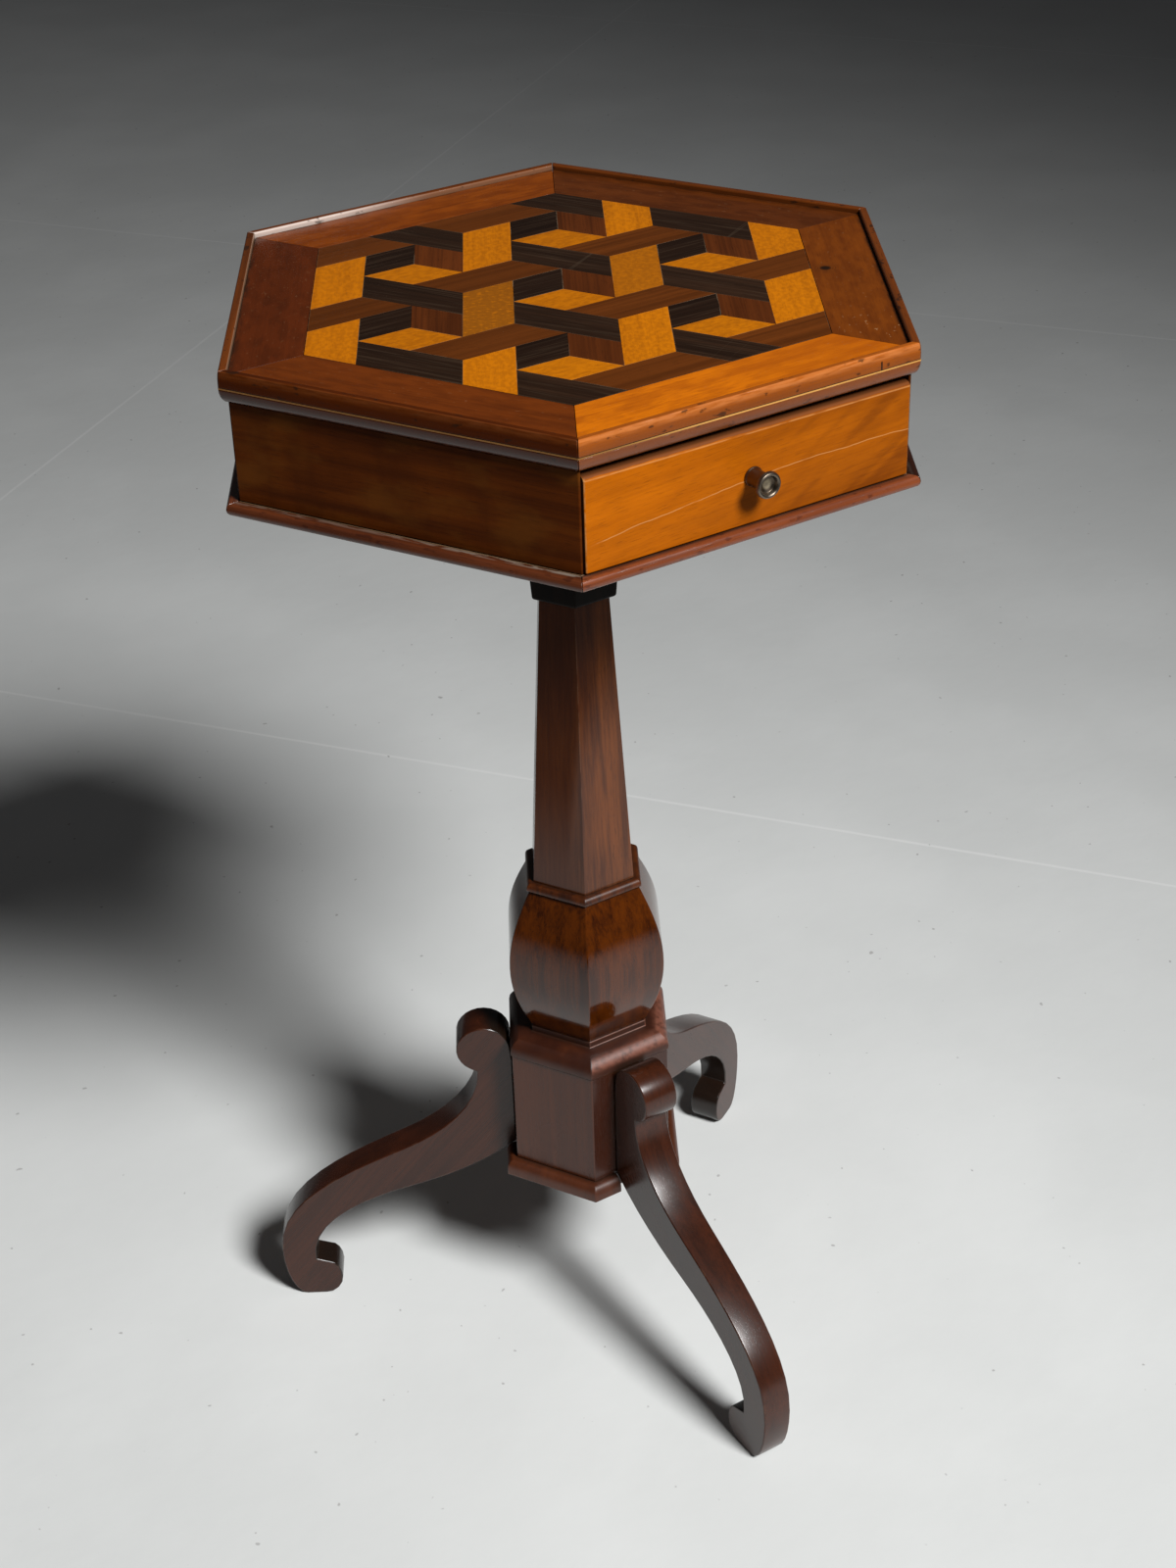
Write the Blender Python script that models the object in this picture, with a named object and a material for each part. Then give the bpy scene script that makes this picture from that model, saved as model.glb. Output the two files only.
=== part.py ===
"""Hexagonal occasional table: parquetry top, a drawer, a tapering column with a bulb, and three scroll legs.

Metres, +Z up. The drawer faces -Y. The origin lies on the floor, under the middle of the table's box.
Hexagons have a corner on +X; a hexagon's radius runs to its corners and its apothem to its flats.
"""
import math
from itertools import product

import bmesh
import bpy
from mathutils import Vector
from mathutils.geometry import interpolate_bezier

# Fits between pieces
CLEARANCE = 0.0003
INLAY_GAP = 0.0001
SLIDE_GAP = 0.0006

# Plinth, from the floor up
PLINTH_UNDERSIDE = 0.1180
PLINTH_BASE_RADIUS = 0.0655
PLINTH_BASE_HEIGHT = 0.0110
PLINTH_BASE_EDGE = 0.0040
PLINTH_BASE_ROUND = 0.0060
PLINTH_RADIUS = 0.0577
PLINTH_HEIGHT = 0.0840
PLINTH_CAP_RADIUS = 0.0588
PLINTH_CAP_HEIGHT = 0.0175
PLINTH_CAP_EDGE = 0.0025
PLINTH_FILLET = 0.0045

# Column
BULB_FOOT_RADIUS = 0.0415
BULB_FOOT_SLOPE = 63
BULB_RADIUS = 0.0560
BULB_BELLY_HEIGHT = 0.0500
BULB_TOP_RADIUS = 0.0390
BULB_TOP_SLOPE = 119
BULB_HEIGHT = 0.1030
COLLAR_RADIUS = 0.0412
COLLAR_HEIGHT = 0.0050
COLLAR_EDGE = 0.0012
COLLAR_ROUND = 0.0036
SHAFT_FOOT_RADIUS = 0.0358
SHAFT_TOP_RADIUS = 0.0236
SHAFT_HEIGHT = 0.1940
CAPITAL_FOOT_RADIUS = 0.0284
CAPITAL_EDGE = 0.0020
CAPITAL_BLOCK_RADIUS = 0.0294
CAPITAL_BLOCK_HEIGHT = 0.0140
CAPITAL_TOP_RADIUS = 0.0520
CAPITAL_HEIGHT = 0.0920
CAPITAL_FILLET = 0.0090
BEARER_RADIUS = 0.0800
BEARER_HEIGHT = 0.0130
BEARER_CHAMFER = 0.0040

# Round tenons that pin the column together
SHAFT_FOOT_TENON = 0.0110
SHAFT_TOP_TENON = 0.0090
BULB_TENON = 0.0130
CAPITAL_TENON = 0.0160
TENON_LENGTH = 0.0260

# Legs, with slopes in degrees
LEG_THICK = 0.0248
LEG_TOE_THICK = 0.0198
LEG_REACH = 0.2140
LEG_EDGE_ROUND = 0.0010
LEG_SCROLL_RADIUS = 0.0176
LEG_SCROLL_DROP = 0.0080
LEG_NECK = 0.0232
LEG_MID_REACH = 0.1250
LEG_MID_TOP = 0.1260
LEG_MID_UNDER = 0.0920
LEG_SLOPE_TOP = -25
LEG_SLOPE_UNDER = -17
LEG_SLOPE_HEEL = -39
LEG_SLOPE_SHIN = 84
LEG_ANKLE = 0.0230
LEG_ANKLE_HEIGHT = 0.0400
FOOT_TOE = 0.0145
FOOT_FLAT = 0.0130
FOOT_CURL = 0.0395
FOOT_CURL_HEIGHT = 0.0280
FOOT_THROAT = 0.0028
DOVETAIL_DEPTH = 0.0110
DOVETAIL_ROOT = 0.0110
DOVETAIL_TIP = 0.0160
DOVETAIL_LENGTH = 0.0620

# Case
CASE_RADIUS = 0.2035
CASE_BOTTOM_HEIGHT = 0.0065
FRIEZE_HEIGHT = 0.0561
FRIEZE_THICK = 0.0150
BASE_MOULDING_OUT = 0.0070
BASE_MOULDING_NOSE = 0.0026
FRIEZE_END_STRIP = 0.0012

# Top
TOP_BOARD_HEIGHT = 0.0130
VENEER_THICK = 0.0012
BORDER_WIDTH = 0.0375
RIM_THICK = 0.0050
RIM_OVERHANG = 0.0043
RIM_UNDER_ROUND = 0.0034
LIP_HEIGHT = 0.0030
LIP_WIDTH = 0.0040
LIP_EDGE = 0.0006
STRING_DROP = 0.0095
STRING_HEIGHT = 0.0008
STRING_DEPTH = 0.0012

# Parquetry: lattice steps from the middle to a corner and from cell to cell, and the joints between veneers
FIELD_STEPS = 5
CELL_STEPS = 3
JOINT_WIDTH = 0.0003
JOINT_DEPTH = 0.0002

# Drawer
DRAWER_LENGTH = 0.3000
DRAWER_TOP_GAP = 0.0030
DRAWER_PROUD = 0.0021
DRAWER_FRONT_THICK = 0.0160
DRAWER_FRONT_ROUND = 0.0010
DRAWER_TOP_ROUND = 0.0032
DRAWER_INSET = 0.0058
DRAWER_SIDE_THICK = 0.0080
DRAWER_SIDE_DROP = 0.0095
DRAWER_BACK_THICK = 0.0080
DRAWER_BACK_DROP = 0.0030
DRAWER_BOTTOM_THICK = 0.0050
GROOVE_DEPTH = 0.0040
GROOVE_RISE = 0.0060
TAIL_LENGTH = 0.0100
TAIL_ROOT = 0.0120
TAIL_TIP = 0.0154
TAIL_COUNT = 2
GUIDE_WIDTH = 0.0080
GUIDE_HEIGHT = 0.0300
KICKER_WIDTH = 0.0120

# Knob, as radii and as distances out from the drawer front
KNOB_RADIUS = 0.0074
KNOB_OUT = 0.0150
KNOB_HEAD_OUT = 0.0127
KNOB_ROSE_RADIUS = 0.0054
KNOB_ROSE_OUT = 0.0012
KNOB_WAIST_RADIUS = 0.0047
KNOB_WAIST_OUT = 0.0050
KNOB_DISH = 0.0034
KNOB_RIM = 0.0024
KNOB_SHANK_RADIUS = 0.0025
KNOB_SHANK_LENGTH = 0.0100

# Directions in degrees, a curve's handles as a share of its chord, and the least angle of a sharp edge
UP = 90
DOWN = -90
CURVE_PULL = 0.36
SHARP_ANGLE = math.radians(40)
ROUND_SIDES = 24
COS30 = math.cos(math.radians(30))
TAN30 = math.tan(math.radians(30))

# The six sides of the case and the three legs, by the direction that they face in degrees
SIDES = {
    "front": -90,
    "front_right": -30,
    "back_right": 30,
    "back": 90,
    "back_left": 150,
    "front_left": 210,
}
LEGS = {"front": -90, "right": 30, "left": 150}

# The veneers of one cell, as corners in steps along the lattice's two directions: a cube seen from
# one corner, and three bars that run from cube to cube
VENEERS = {
    "cube_black": ((0, 0), (-1, 0), (-1, 1), (0, 1)),
    "cube_brown": ((0, 0), (0, 1), (1, 0), (1, -1)),
    "cube_light": ((0, 0), (1, -1), (0, -1), (-1, 0)),
    "bar_light": ((-1, 1), (-2, 1), (-2, -1), (-1, -1)),
    "bar_black": ((-1, 0), (1, -2), (1, -3), (-1, -1)),
    "bar_brown": ((0, -1), (2, -1), (3, -2), (1, -2)),
}

# Heights that follow from the stack of pieces
PLINTH_FOOT = PLINTH_UNDERSIDE + PLINTH_BASE_HEIGHT + CLEARANCE
PLINTH_TOP = PLINTH_FOOT + PLINTH_HEIGHT
CAP_FOOT = PLINTH_TOP + CLEARANCE
CAP_TOP = CAP_FOOT + PLINTH_CAP_HEIGHT
BULB_FOOT = CAP_TOP + CLEARANCE
BULB_TOP = BULB_FOOT + BULB_HEIGHT
COLLAR_FOOT = BULB_TOP + CLEARANCE
COLLAR_TOP = COLLAR_FOOT + COLLAR_HEIGHT
SHAFT_FOOT = COLLAR_TOP + CLEARANCE
SHAFT_TOP = SHAFT_FOOT + SHAFT_HEIGHT
CAPITAL_FOOT = SHAFT_TOP + CLEARANCE
CAPITAL_TOP = CAPITAL_FOOT + CAPITAL_HEIGHT
BEARER_FOOT = CAPITAL_TOP + CLEARANCE
BEARER_TOP = BEARER_FOOT + BEARER_HEIGHT
CASE_FOOT = BEARER_TOP + CLEARANCE
CASE_FLOOR = CASE_FOOT + CASE_BOTTOM_HEIGHT
FRIEZE_FOOT = CASE_FLOOR + CLEARANCE
FRIEZE_TOP = FRIEZE_FOOT + FRIEZE_HEIGHT
BOARD_FOOT = FRIEZE_TOP + CLEARANCE
BOARD_TOP = BOARD_FOOT + TOP_BOARD_HEIGHT
VENEER_FOOT = BOARD_TOP + CLEARANCE
VENEER_TOP = VENEER_FOOT + VENEER_THICK
LIP_TOP = VENEER_TOP + LIP_HEIGHT

# Plan sizes that follow from the hexagon of the case
CASE_FLAT = CASE_RADIUS * COS30
CASE_INSIDE_FLAT = CASE_FLAT - FRIEZE_THICK
MOULDING_FLAT = CASE_FLAT + BASE_MOULDING_OUT
RIM_FLAT = CASE_FLAT + RIM_OVERHANG
RIM_INSIDE_FLAT = RIM_FLAT - RIM_THICK
BORDER_FLAT = RIM_INSIDE_FLAT - CLEARANCE
BORDER_INSIDE_FLAT = BORDER_FLAT - BORDER_WIDTH
FIELD_RADIUS = (BORDER_INSIDE_FLAT - CLEARANCE) / COS30
FRONT_HALF = CASE_RADIUS / 2 - FRIEZE_END_STRIP - CLEARANCE
FRONT_FACE = -CASE_FLAT
DRAWER_FACE = FRONT_FACE - DRAWER_PROUD
FRONT_BACK = DRAWER_FACE + DRAWER_FRONT_THICK
SHOULDER = FRONT_BACK + CLEARANCE
DRAWER_HALF = (CASE_INSIDE_FLAT + SHOULDER / 2) / COS30 - DRAWER_INSET
DRAWER_FOOT = CASE_FLOOR + SLIDE_GAP
DRAWER_TOP = FRIEZE_TOP - DRAWER_TOP_GAP
DRAWER_SIDE_TOP = FRIEZE_TOP - DRAWER_SIDE_DROP
DRAWER_REAR = DRAWER_FACE + DRAWER_LENGTH
GROOVE_FOOT = DRAWER_FOOT + GROOVE_RISE
GROOVE_HEIGHT = DRAWER_BOTTOM_THICK + 2 * CLEARANCE
INSIDE_HALF = DRAWER_HALF - DRAWER_SIDE_THICK
GUIDE_INSIDE = DRAWER_HALF + SLIDE_GAP
GUIDE_OUTSIDE = GUIDE_INSIDE + GUIDE_WIDTH
GUIDE_HALF_LENGTH = 2 * (CASE_INSIDE_FLAT - COS30 * (GUIDE_OUTSIDE + CLEARANCE))
PLINTH_FLAT = PLINTH_RADIUS * COS30
LEG_FACE = PLINTH_FLAT + CLEARANCE

# The column stands behind the middle of the box, because the front leg reaches out past the case
AXIS_Y = (LEG_REACH - MOULDING_FLAT) / 2


def material(name, colour, roughness, metallic=0.0):
    """A plain Principled material."""
    new = bpy.data.materials.new(name)
    new.use_nodes = True
    shader = new.node_tree.nodes["Principled BSDF"]
    shader.inputs["Base Color"].default_value = (*colour, 1.0)
    shader.inputs["Roughness"].default_value = roughness
    shader.inputs["Metallic"].default_value = metallic
    return new


def solid(name, bm, surface, parent, turn=0.0):
    """Turn a bmesh into a named object, turned about the parent's vertical axis in degrees."""
    bmesh.ops.recalc_face_normals(bm, faces=bm.faces)
    mesh = bpy.data.meshes.new(name)
    bm.to_mesh(mesh)
    bm.free()
    mesh.materials.append(surface)
    thing = bpy.data.objects.new(name, mesh)
    bpy.context.collection.objects.link(thing)
    thing.parent = parent
    thing.rotation_euler.z = math.radians(turn)
    return thing


def empty(name, location, parent=None):
    """An empty that carries the pieces of one group."""
    thing = bpy.data.objects.new(name, None)
    bpy.context.collection.objects.link(thing)
    thing.location = location
    thing.parent = parent
    return thing


def tool_body(name, bm, parent, turn=0.0):
    """A body that only cuts or joins another one."""
    thing = solid(name, bm, NO_SURFACE, parent, turn)
    thing.hide_render = True
    thing.display_type = 'WIRE'
    return thing


def boolean(thing, other, operation='DIFFERENCE'):
    step = thing.modifiers.new(operation.title(), 'BOOLEAN')
    step.operation = operation
    step.object = other
    step.solver = 'EXACT'


def bevel(thing, width, segments=2):
    step = thing.modifiers.new("Bevel", 'BEVEL')
    step.width = width
    step.segments = segments
    step.limit_method = 'ANGLE'
    step.angle_limit = SHARP_ANGLE


def extruded(loops):
    """Join a stack of equal loops of points into one closed body."""
    bm = bmesh.new()
    rings = [[bm.verts.new(point) for point in loop] for loop in loops]
    count = len(rings[0])
    for low, high in zip(rings, rings[1:]):
        for i in range(count):
            j = (i + 1) % count
            bm.faces.new((low[i], low[j], high[j], high[i]))
    bm.faces.new(reversed(rings[0]))
    bm.faces.new(rings[-1])
    return bm


def prism(outline, low, high):
    """A plan outline carried from one height to another."""
    return extruded([[(x, y, z) for x, y in outline] for z in (low, high)])


def block(x, y, z):
    """A box between three pairs of limits."""
    outline = ((x[0], y[0]), (x[1], y[0]), (x[1], y[1]), (x[0], y[1]))
    return prism(outline, *z)


def along(point, angle, distance):
    """The point at a distance from another, in a direction in degrees."""
    turn = math.radians(angle)
    return (point[0] + distance * math.cos(turn), point[1] + distance * math.sin(turn))


def around(radius, count):
    """Corners of a regular outline about the origin, the first on +X."""
    return [along((0, 0), 360 * i / count, radius) for i in range(count)]


def hexagon(radius):
    return around(radius, 6)


def hexagonal(profile):
    """A hexagonal loft through a profile of (radius, height), from the bottom up."""
    return extruded([[(x, y, z) for x, y in hexagon(radius)] for radius, z in profile])


def round_bar(radius, low, high):
    return prism(around(radius, ROUND_SIDES), low, high)


def mitred(section):
    """A side of a hexagonal frame, facing -Y, from a section of (apothem, height), mitred at both ends."""
    gap = CLEARANCE / 2 / COS30
    ends = []
    for end in (-1, 1):
        ends.append([(end * (flat * TAN30 - gap), -flat, z) for flat, z in section])
    return extruded(ends)


def hexagonal_ring(section):
    """A closed hexagonal ring with a section of (apothem, height)."""
    bm = bmesh.new()
    loops = [[bm.verts.new((x, y, z)) for x, y in hexagon(flat / COS30)] for flat, z in section]
    for i, loop in enumerate(loops):
        other = loops[(i + 1) % len(loops)]
        for k in range(6):
            n = (k + 1) % 6
            bm.faces.new((loop[k], loop[n], other[n], other[k]))
    return bm


def turned(profile):
    """A round body from a profile of (radius, height), with a pole at both ends."""
    bm = bmesh.new()
    low = bm.verts.new((0, 0, profile[0][1]))
    high = bm.verts.new((0, 0, profile[-1][1]))
    rings = []
    for radius, z in profile[1:-1]:
        rings.append([bm.verts.new((x, y, z)) for x, y in around(radius, ROUND_SIDES)])
    for i in range(ROUND_SIDES):
        n = (i + 1) % ROUND_SIDES
        bm.faces.new((low, rings[0][n], rings[0][i]))
        bm.faces.new((high, rings[-1][i], rings[-1][n]))
        for ring, other in zip(rings, rings[1:]):
            bm.faces.new((ring[i], ring[n], other[n], other[i]))
    return bm


def curve(start, leaving, end, arriving, steps):
    """Points along a cubic that leaves and arrives in directions in degrees, without its end point."""
    pull = CURVE_PULL * math.dist(start, end)
    knots = (start, along(start, leaving, pull), along(end, arriving, -pull), end)
    points = interpolate_bezier(*(Vector((*knot, 0)) for knot in knots), steps + 1)
    return [(point.x, point.y) for point in points[:-1]]


def quarter(start, end, steps, upright=True):
    """Points along a quarter of an ellipse that leaves upright or level, without its end point."""
    points = []
    for i in range(steps):
        turn = math.radians(90 * i / steps)
        across, rise = (1 - math.cos(turn), math.sin(turn))
        if not upright:
            across, rise = rise, across
        points.append((start[0] + (end[0] - start[0]) * across, start[1] + (end[1] - start[1]) * rise))
    return points


def arc(centre, radius, first, last, steps):
    """Points along an arc between two angles in degrees, both ends included."""
    return [along(centre, first + (last - first) * i / steps, radius) for i in range(steps + 1)]


def bullnose(outer, depth, low, high):
    """Half an ellipse from the bottom edge to the top edge, as (distance, height)."""
    inner = outer - depth
    middle = (low + high) / 2
    profile = quarter((inner, low), (outer, middle), 3, upright=False)
    profile += quarter((outer, middle), (inner, high), 3)
    return profile + [(inner, high)]


for old in list(bpy.data.objects):
    bpy.data.objects.remove(old, do_unlink=True)

MAHOGANY = material("mahogany", (0.085, 0.026, 0.014), 0.28)
DARK_MAHOGANY = material("dark_mahogany", (0.022, 0.009, 0.007), 0.30)
FIGURED = material("figured_mahogany", (0.28, 0.10, 0.025), 0.30)
PARQUETRY = material("parquetry", (0.30, 0.15, 0.05), 0.30)
BOXWOOD = material("boxwood", (0.50, 0.30, 0.11), 0.35)
PINE = material("pine", (0.42, 0.27, 0.13), 0.65)
BRASS = material("brass", (0.62, 0.44, 0.17), 0.30, 1.0)
NO_SURFACE = material("tool", (0.5, 0.5, 0.5), 0.5)

table = empty("table_axis", (0, AXIS_Y, 0))


# Column: a stack of hexagonal lofts, each pinned to the next by a round tenon

def tenoned(body, name, radius, low, high):
    boolean(body, tool_body(name, round_bar(radius, low, high), table), 'UNION')


def bored(body, name, radius, low, high):
    boolean(body, tool_body(name, round_bar(radius + CLEARANCE, low, high), table))


def plinth_base():
    """A plate under the plinth with a rounded edge, stopped against the sides of the legs."""
    ledge = (PLINTH_BASE_RADIUS - PLINTH_BASE_ROUND, PLINTH_UNDERSIDE + PLINTH_BASE_HEIGHT)
    profile = [(PLINTH_BASE_RADIUS, PLINTH_UNDERSIDE)]
    profile += quarter((PLINTH_BASE_RADIUS, PLINTH_UNDERSIDE + PLINTH_BASE_EDGE), ledge, 4) + [ledge]
    body = solid("plinth_base", hexagonal(profile), MAHOGANY, table)
    half = LEG_THICK / 2 + CLEARANCE
    limits = (-PLINTH_BASE_RADIUS * 2, -PLINTH_FLAT)
    height = (PLINTH_UNDERSIDE - CLEARANCE, PLINTH_FOOT)
    for leg, angle in LEGS.items():
        notch = block((-half, half), limits, height)
        boolean(body, tool_body("base_notch_" + leg, notch, table, angle + 90))


def dovetail(grow, low, high):
    """The leg's sliding dovetail in plan, for a leg along -Y, grown on all sides for its socket."""
    root = DOVETAIL_ROOT / 2 + grow
    tip = DOVETAIL_TIP / 2 + grow
    inner = -LEG_FACE + DOVETAIL_DEPTH + grow
    outer = -LEG_FACE - LEG_NECK / 2
    flare = (tip - root) * (LEG_NECK / 2) / DOVETAIL_DEPTH
    outline = ((-root + flare, outer), (root - flare, outer), (tip, inner), (-tip, inner))
    return prism(outline, low, high)


def plinth_block():
    body = solid("plinth_block", hexagonal(((PLINTH_RADIUS, PLINTH_FOOT), (PLINTH_RADIUS, PLINTH_TOP))),
                 MAHOGANY, table)
    for leg, angle in LEGS.items():
        socket = dovetail(CLEARANCE, PLINTH_FOOT - CLEARANCE, PLINTH_FOOT + DOVETAIL_LENGTH + 2 * CLEARANCE)
        boolean(body, tool_body("plinth_socket_" + leg, socket, table, angle + 90))
    bored(body, "plinth_bore", BULB_TENON, CAP_FOOT - TENON_LENGTH - CLEARANCE, CAP_TOP)


def plinth_cap():
    """A small upright edge, a round that climbs to a ledge, and the fillet that the bulb stands on."""
    fillet = BULB_FOOT_RADIUS + CLEARANCE
    shoulder = CAP_TOP - PLINTH_FILLET
    ledge = (fillet + PLINTH_FILLET / 2, shoulder)
    profile = [(PLINTH_CAP_RADIUS, CAP_FOOT)]
    profile += quarter((PLINTH_CAP_RADIUS, CAP_FOOT + PLINTH_CAP_EDGE), ledge, 5)
    profile += [ledge, (fillet, shoulder), (fillet, CAP_TOP)]
    body = solid("plinth_cap", hexagonal(profile), MAHOGANY, table)
    bored(body, "cap_bore", BULB_TENON, CAP_FOOT - CLEARANCE, CAP_TOP + CLEARANCE)


def bulb():
    """A hexagonal baluster with its belly below the middle."""
    belly = (BULB_RADIUS, BULB_FOOT + BULB_BELLY_HEIGHT)
    top = (BULB_TOP_RADIUS, BULB_TOP)
    profile = curve((BULB_FOOT_RADIUS, BULB_FOOT), BULB_FOOT_SLOPE, belly, UP, 10)
    profile += curve(belly, UP, top, BULB_TOP_SLOPE, 10)
    profile.append(top)
    body = solid("bulb", hexagonal(profile), MAHOGANY, table)
    tenoned(body, "bulb_tenon", BULB_TENON, CAP_FOOT - TENON_LENGTH, BULB_FOOT + TENON_LENGTH)
    bored(body, "bulb_bore", SHAFT_FOOT_TENON, COLLAR_FOOT - TENON_LENGTH - CLEARANCE, COLLAR_TOP)


def collar():
    """A thin plate between the bulb and the shaft, rounded over above a small upright edge."""
    ledge = (COLLAR_RADIUS - COLLAR_ROUND, COLLAR_TOP)
    profile = [(COLLAR_RADIUS, COLLAR_FOOT)]
    profile += quarter((COLLAR_RADIUS, COLLAR_FOOT + COLLAR_EDGE), ledge, 4) + [ledge]
    body = solid("collar", hexagonal(profile), MAHOGANY, table)
    bored(body, "collar_bore", SHAFT_FOOT_TENON, COLLAR_FOOT - CLEARANCE, COLLAR_TOP + CLEARANCE)


def shaft():
    body = solid("shaft", hexagonal(((SHAFT_FOOT_RADIUS, SHAFT_FOOT), (SHAFT_TOP_RADIUS, SHAFT_TOP))),
                 MAHOGANY, table)
    tenoned(body, "shaft_foot_tenon", SHAFT_FOOT_TENON, COLLAR_FOOT - TENON_LENGTH,
            SHAFT_FOOT + TENON_LENGTH)
    tenoned(body, "shaft_top_tenon", SHAFT_TOP_TENON, SHAFT_TOP - TENON_LENGTH,
            CAPITAL_FOOT + TENON_LENGTH)


def capital():
    """A block with a rounded lower edge, then a hollow that spreads to the bearer under the case."""
    foot = (CAPITAL_FOOT_RADIUS, CAPITAL_FOOT + CAPITAL_EDGE)
    fillet = (CAPITAL_TOP_RADIUS, CAPITAL_TOP - CAPITAL_FILLET)
    profile = quarter((CAPITAL_FOOT_RADIUS - CAPITAL_EDGE, CAPITAL_FOOT), foot, 3, upright=False)
    profile.append(foot)
    profile += quarter((CAPITAL_BLOCK_RADIUS, CAPITAL_FOOT + CAPITAL_BLOCK_HEIGHT), fillet, 9)
    profile += [fillet, (CAPITAL_TOP_RADIUS, CAPITAL_TOP)]
    body = solid("capital", hexagonal(profile), DARK_MAHOGANY, table)
    bored(body, "capital_bore", SHAFT_TOP_TENON, SHAFT_TOP, CAPITAL_FOOT + TENON_LENGTH + CLEARANCE)
    tenoned(body, "capital_tenon", CAPITAL_TENON, CAPITAL_TOP - TENON_LENGTH, BEARER_TOP - CLEARANCE)


def bearer_plate():
    """The plate that spreads the column's top under the case."""
    profile = ((BEARER_RADIUS - BEARER_CHAMFER, BEARER_FOOT), (BEARER_RADIUS, BEARER_FOOT + BEARER_CHAMFER),
               (BEARER_RADIUS, BEARER_TOP))
    body = solid("bearer_plate", hexagonal(profile), DARK_MAHOGANY, table)
    bored(body, "bearer_bore", CAPITAL_TENON, BEARER_FOOT - CLEARANCE, BEARER_TOP + CLEARANCE)


# Legs: one sawn outline with a round scroll at the top and an in-curled foot

def leg_outline():
    """The outline in (distance from the axis, height), from the heel at the plinth round by the scroll."""
    heel = (LEG_FACE, PLINTH_FOOT)
    scroll = (max(LEG_FACE, PLINTH_CAP_RADIUS * COS30 + CLEARANCE) + LEG_SCROLL_RADIUS,
              PLINTH_TOP - LEG_SCROLL_DROP)
    neck = LEG_FACE + LEG_NECK
    notch_angle = -math.degrees(math.acos((neck - scroll[0]) / LEG_SCROLL_RADIUS))
    outline = [heel, (LEG_FACE, scroll[1] - LEG_SCROLL_RADIUS / 2)]
    outline += arc(scroll, LEG_SCROLL_RADIUS, 180, notch_angle, 18)
    notch = outline.pop()
    top = (LEG_MID_REACH, LEG_MID_TOP)
    under = (LEG_MID_REACH, LEG_MID_UNDER)
    ankle = (LEG_REACH, LEG_ANKLE_HEIGHT)
    toe = (LEG_REACH - FOOT_TOE, 0)
    flat_end = (toe[0] - FOOT_FLAT, 0)
    nose = (LEG_REACH - FOOT_CURL, FOOT_CURL_HEIGHT / 2)
    throat = (LEG_REACH - LEG_ANKLE, FOOT_CURL_HEIGHT + FOOT_THROAT)
    curl_top = ((nose[0] + throat[0]) / 2, FOOT_CURL_HEIGHT)
    outline += curve(notch, DOWN, top, LEG_SLOPE_TOP, 8)
    outline += curve(top, LEG_SLOPE_TOP, ankle, DOWN, 10)
    outline += quarter(ankle, toe, 6)
    outline.append(toe)
    outline += quarter(flat_end, nose, 4, upright=False)
    outline += quarter(nose, curl_top, 4)
    outline.append(curl_top)
    outline += curve(throat, LEG_SLOPE_SHIN, under, LEG_SLOPE_UNDER + 180, 9)
    outline += curve(under, LEG_SLOPE_UNDER + 180, heel, LEG_SLOPE_HEEL + 180, 6)
    return outline


def leg_half(distance):
    """Half the leg's thickness, which tapers from the plinth to the toe."""
    share = (distance - LEG_FACE) / (LEG_REACH - LEG_FACE)
    return (LEG_THICK + (LEG_TOE_THICK - LEG_THICK) * share) / 2


def leg(name, angle):
    """A leg built along -Y and turned to its side of the plinth."""
    faces = []
    for hand in (-1, 1):
        faces.append([(hand * leg_half(distance), -distance, z) for distance, z in leg_outline()])
    body = solid("leg_" + name, extruded(faces), MAHOGANY, table, angle + 90)
    bevel(body, LEG_EDGE_ROUND)
    tongue = dovetail(0, PLINTH_FOOT + CLEARANCE, PLINTH_FOOT + DOVETAIL_LENGTH)
    boolean(body, tool_body("leg_dovetail_" + name, tongue, table, angle + 90), 'UNION')


# Case: a bottom board and five frieze panels, with the drawer in the sixth side

def case_bottom():
    profile = ((CASE_RADIUS, CASE_FOOT), (CASE_RADIUS, CASE_FLOOR))
    solid("case_bottom", hexagonal(profile), PINE, table)


def side_x(flat, y):
    """Where the slanted side with this apothem lies at a given y."""
    return (flat - abs(y) / 2) / COS30


def end_panel(name, hand):
    """A frieze panel beside the drawer: its end is rebated, so only a narrow strip shows at the front."""
    gap = CLEARANCE / 2
    strip = FRONT_HALF + CLEARANCE
    outline = (
        (side_x(CASE_FLAT, FRONT_FACE), FRONT_FACE),
        (side_x(CASE_FLAT, gap), -gap),
        (side_x(CASE_INSIDE_FLAT, gap), -gap),
        (side_x(CASE_INSIDE_FLAT, SHOULDER), SHOULDER),
        (strip, SHOULDER),
        (strip, FRONT_FACE),
    )
    outline = [(hand * x, y) for x, y in outline]
    solid("frieze_" + name, prism(outline, FRIEZE_FOOT, FRIEZE_TOP), MAHOGANY, table)


def frieze_panels():
    section = ((CASE_FLAT, FRIEZE_FOOT), (CASE_FLAT, FRIEZE_TOP),
               (CASE_INSIDE_FLAT, FRIEZE_TOP), (CASE_INSIDE_FLAT, FRIEZE_FOOT))
    for name in ("back_right", "back", "back_left"):
        solid("frieze_" + name, mitred(section), MAHOGANY, table, SIDES[name] + 90)
    end_panel("front_right", 1)
    end_panel("front_left", -1)


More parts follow.
